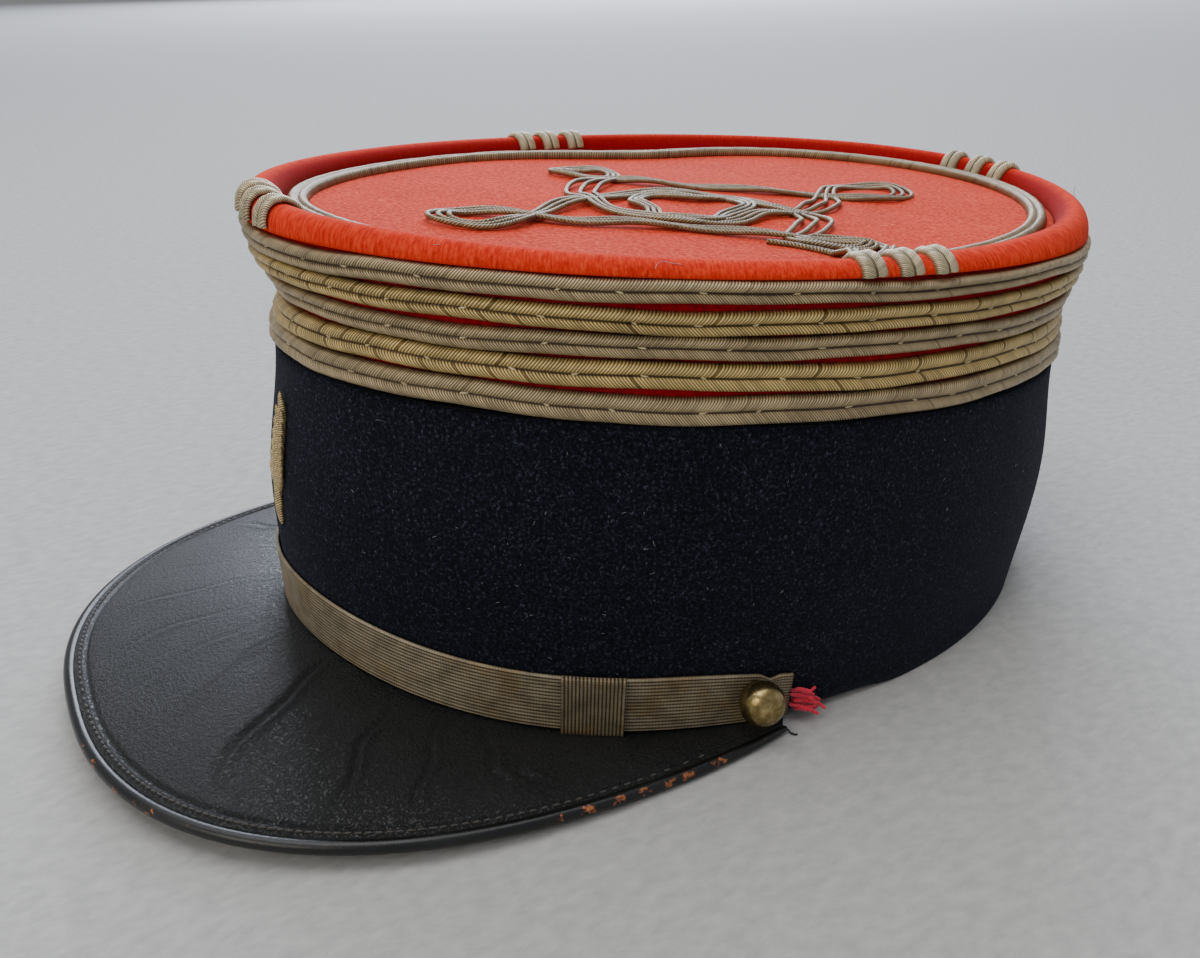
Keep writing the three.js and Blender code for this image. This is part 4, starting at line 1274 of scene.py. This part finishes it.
def makeSprig():
    # leaves of satin stitch over padding, set in pairs up a stem, on the front of the band
    shape = {"leaf": (4.4, 1.5, 0.75), "taper": 0.55, "pairs": 6, "beads": 7, "out": 0.75}
    low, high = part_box("front_sprig")
    foot = low[2] / mm + 1.5
    height = (high[2] - low[2]) / mm - 3
    deselectAll()
    bpy.ops.mesh.primitive_uv_sphere_add(segments=16, ring_count=10, radius=1)
    leaf = named("leaf")
    points = coordinates(leaf)
    taper = 1 - shape["taper"] * np.clip(points[:, 0], 0, 1)
    points = points * np.array(shape["leaf"]) * mm
    points[:, 1] *= taper
    setCoordinates(leaf, points)
    spots = [(0.93, 0, 1.57)]  # share of the height, mm aside, lean in radians: the top leaf stands upright
    for pair in range(shape["pairs"]):
        for side in (-1, 1):
            spots.append((0.3 + 0.1 * pair, side * (1.7 - 0.2 * pair), 1.57 - side * (0.6 - 0.06 * pair)))
    for step in range(shape["beads"]):
        spots.append((0.05 + 0.125 * step, 0.25 * math.sin(step * 1.3), 1.57 + 0.1 * math.cos(step)))
    places = []
    for rise, aside, lean in spots:
        turn = np.array([0.03 + aside / 100, 0.04 + aside / 100])
        level = levelAtHeight(turn, np.full(2, foot - bandEdgeHeight(0) + height * rise))
        here, ahead = wallPoint(turn, level, shape["out"])
        turnTo = frameAt(here, ahead, outward(wallRows[1], turn)[0], lean)
        places.append((turnTo, inFrame(here)))
    return copiesOf("embroidered_sprig", leaf, places)


finish(makeSprig(), giltSatin, "gold_braid", "front_sprig")
print("sprig made")


def strayThread(start, step, turnEach, count):
    # a loose thread that wanders from a starting point in small seeded steps
    heading = np.array(step, float)
    path = [np.array(start, float)]
    for i in range(count):
        heading = heading + noise.normal(0, turnEach, 3)
        heading *= np.linalg.norm(step) / np.linalg.norm(heading)
        path.append(path[-1] + heading)
    return smoothLine(path, 4, False)


def makeTuft():
    # cut ends of crimson wool tied behind the strap's left end
    shape = {
        "turn": 80.7, "height": 3.6, "offset": 1.6,
        "strands": 22, "spread": 0.75, "step": 0.8, "radius": 0.36,
    }
    turn = np.array([math.radians(shape["turn"])])
    root = wallPoint(turn, levelAtHeight(turn, shape["height"]), shape["offset"])[0]
    cords = []
    for strand in range(shape["strands"]):
        scatter = noise.normal(0, shape["spread"], 3) * np.array([0.6, 0.7, 1.0])
        start = root + scatter + np.array([0, 0, 1.2 * (strand % 3 - 0.6)])
        step = np.array([0.18, 1.0, -0.3 + 0.08 * noise.normal()]) * shape["step"]
        path = strayThread(start, step, 0.13, 4 + strand % 5)
        path[:, 2] = np.maximum(path[:, 2], 0.5)
        cords.append(cordMesh(path, shape["radius"], False, 6))
    return cordPiece("crimson_tuft", cords)


finish(makeTuft(), redThread, "crown_cloth")


def makeDarkEnd():
    # the black sewing thread's loose end at the tip of the peak
    tip = peakOutline(np.array([peakShape["endTurn"]]), 0)[0]
    path = strayThread(tip + np.array([-1.0, -0.6, 0.2]), (0.7, 0.5, -0.25), 0.3, 8)
    path[:, 2] = np.maximum(path[:, 2], 0.3)
    return cordPiece("dark_thread_end", [cordMesh(path, 0.2, False, 6)])


finish(makeDarkEnd(), blackThread, "peak_leather")


def makeLint():
    # pale fibres caught in the band's nap, thickest on the left front, and a few long ones on the rim
    shape = {"fibres": 90, "radius": 0.045, "longRadius": 0.05}
    longOnes = ((38, 1.2), (64, 0.8), (150, 0.6))  # degrees round the rim, and mm to a step
    cords = []
    for fibre in range(shape["fibres"]):
        if fibre % 3 == 0:
            turn = np.array([math.radians(noise.normal(48, 9))])
            level = np.array([np.clip(noise.normal(1.1, 0.3), 0.35, 1.9)])
        else:
            turn = np.array([noise.uniform(0, 2 * np.pi)])
            level = np.array([noise.uniform(0.35, 1.95)])
        start = wallPoint(turn, level, 0.12)[0]
        facing = outward(wallRows[1], turn)[0]
        along = np.cross(facing, np.array([0, 0, 1.0]))
        lean = noise.uniform(0, np.pi)
        size = noise.uniform(0.1, 0.32)
        step = (along * math.cos(lean) + np.array([0, 0, 1.0]) * math.sin(lean) + facing * 0.15) * size
        cords.append(cordMesh(strayThread(start, step, 0.25 * size, 4), shape["radius"], False, 4))
    for degrees, size in longOnes:
        turn = np.array([math.radians(degrees)])
        start = rollPoint(turn, np.array([0.3]), 0.15)[0]
        facing = outward(wallRows[3], turn)[0]
        along = np.cross(facing, np.array([0, 0, 1.0]))
        path = strayThread(start, along * size - facing * 0.2 + np.array([0, 0, 0.12]), 0.12, 9)
        cords.append(cordMesh(path, shape["longRadius"], False, 4))
    return cordPiece("caught_lint", cords)


finish(makeLint(), lintFibre, "band_cloth")
print("threads and lint made")
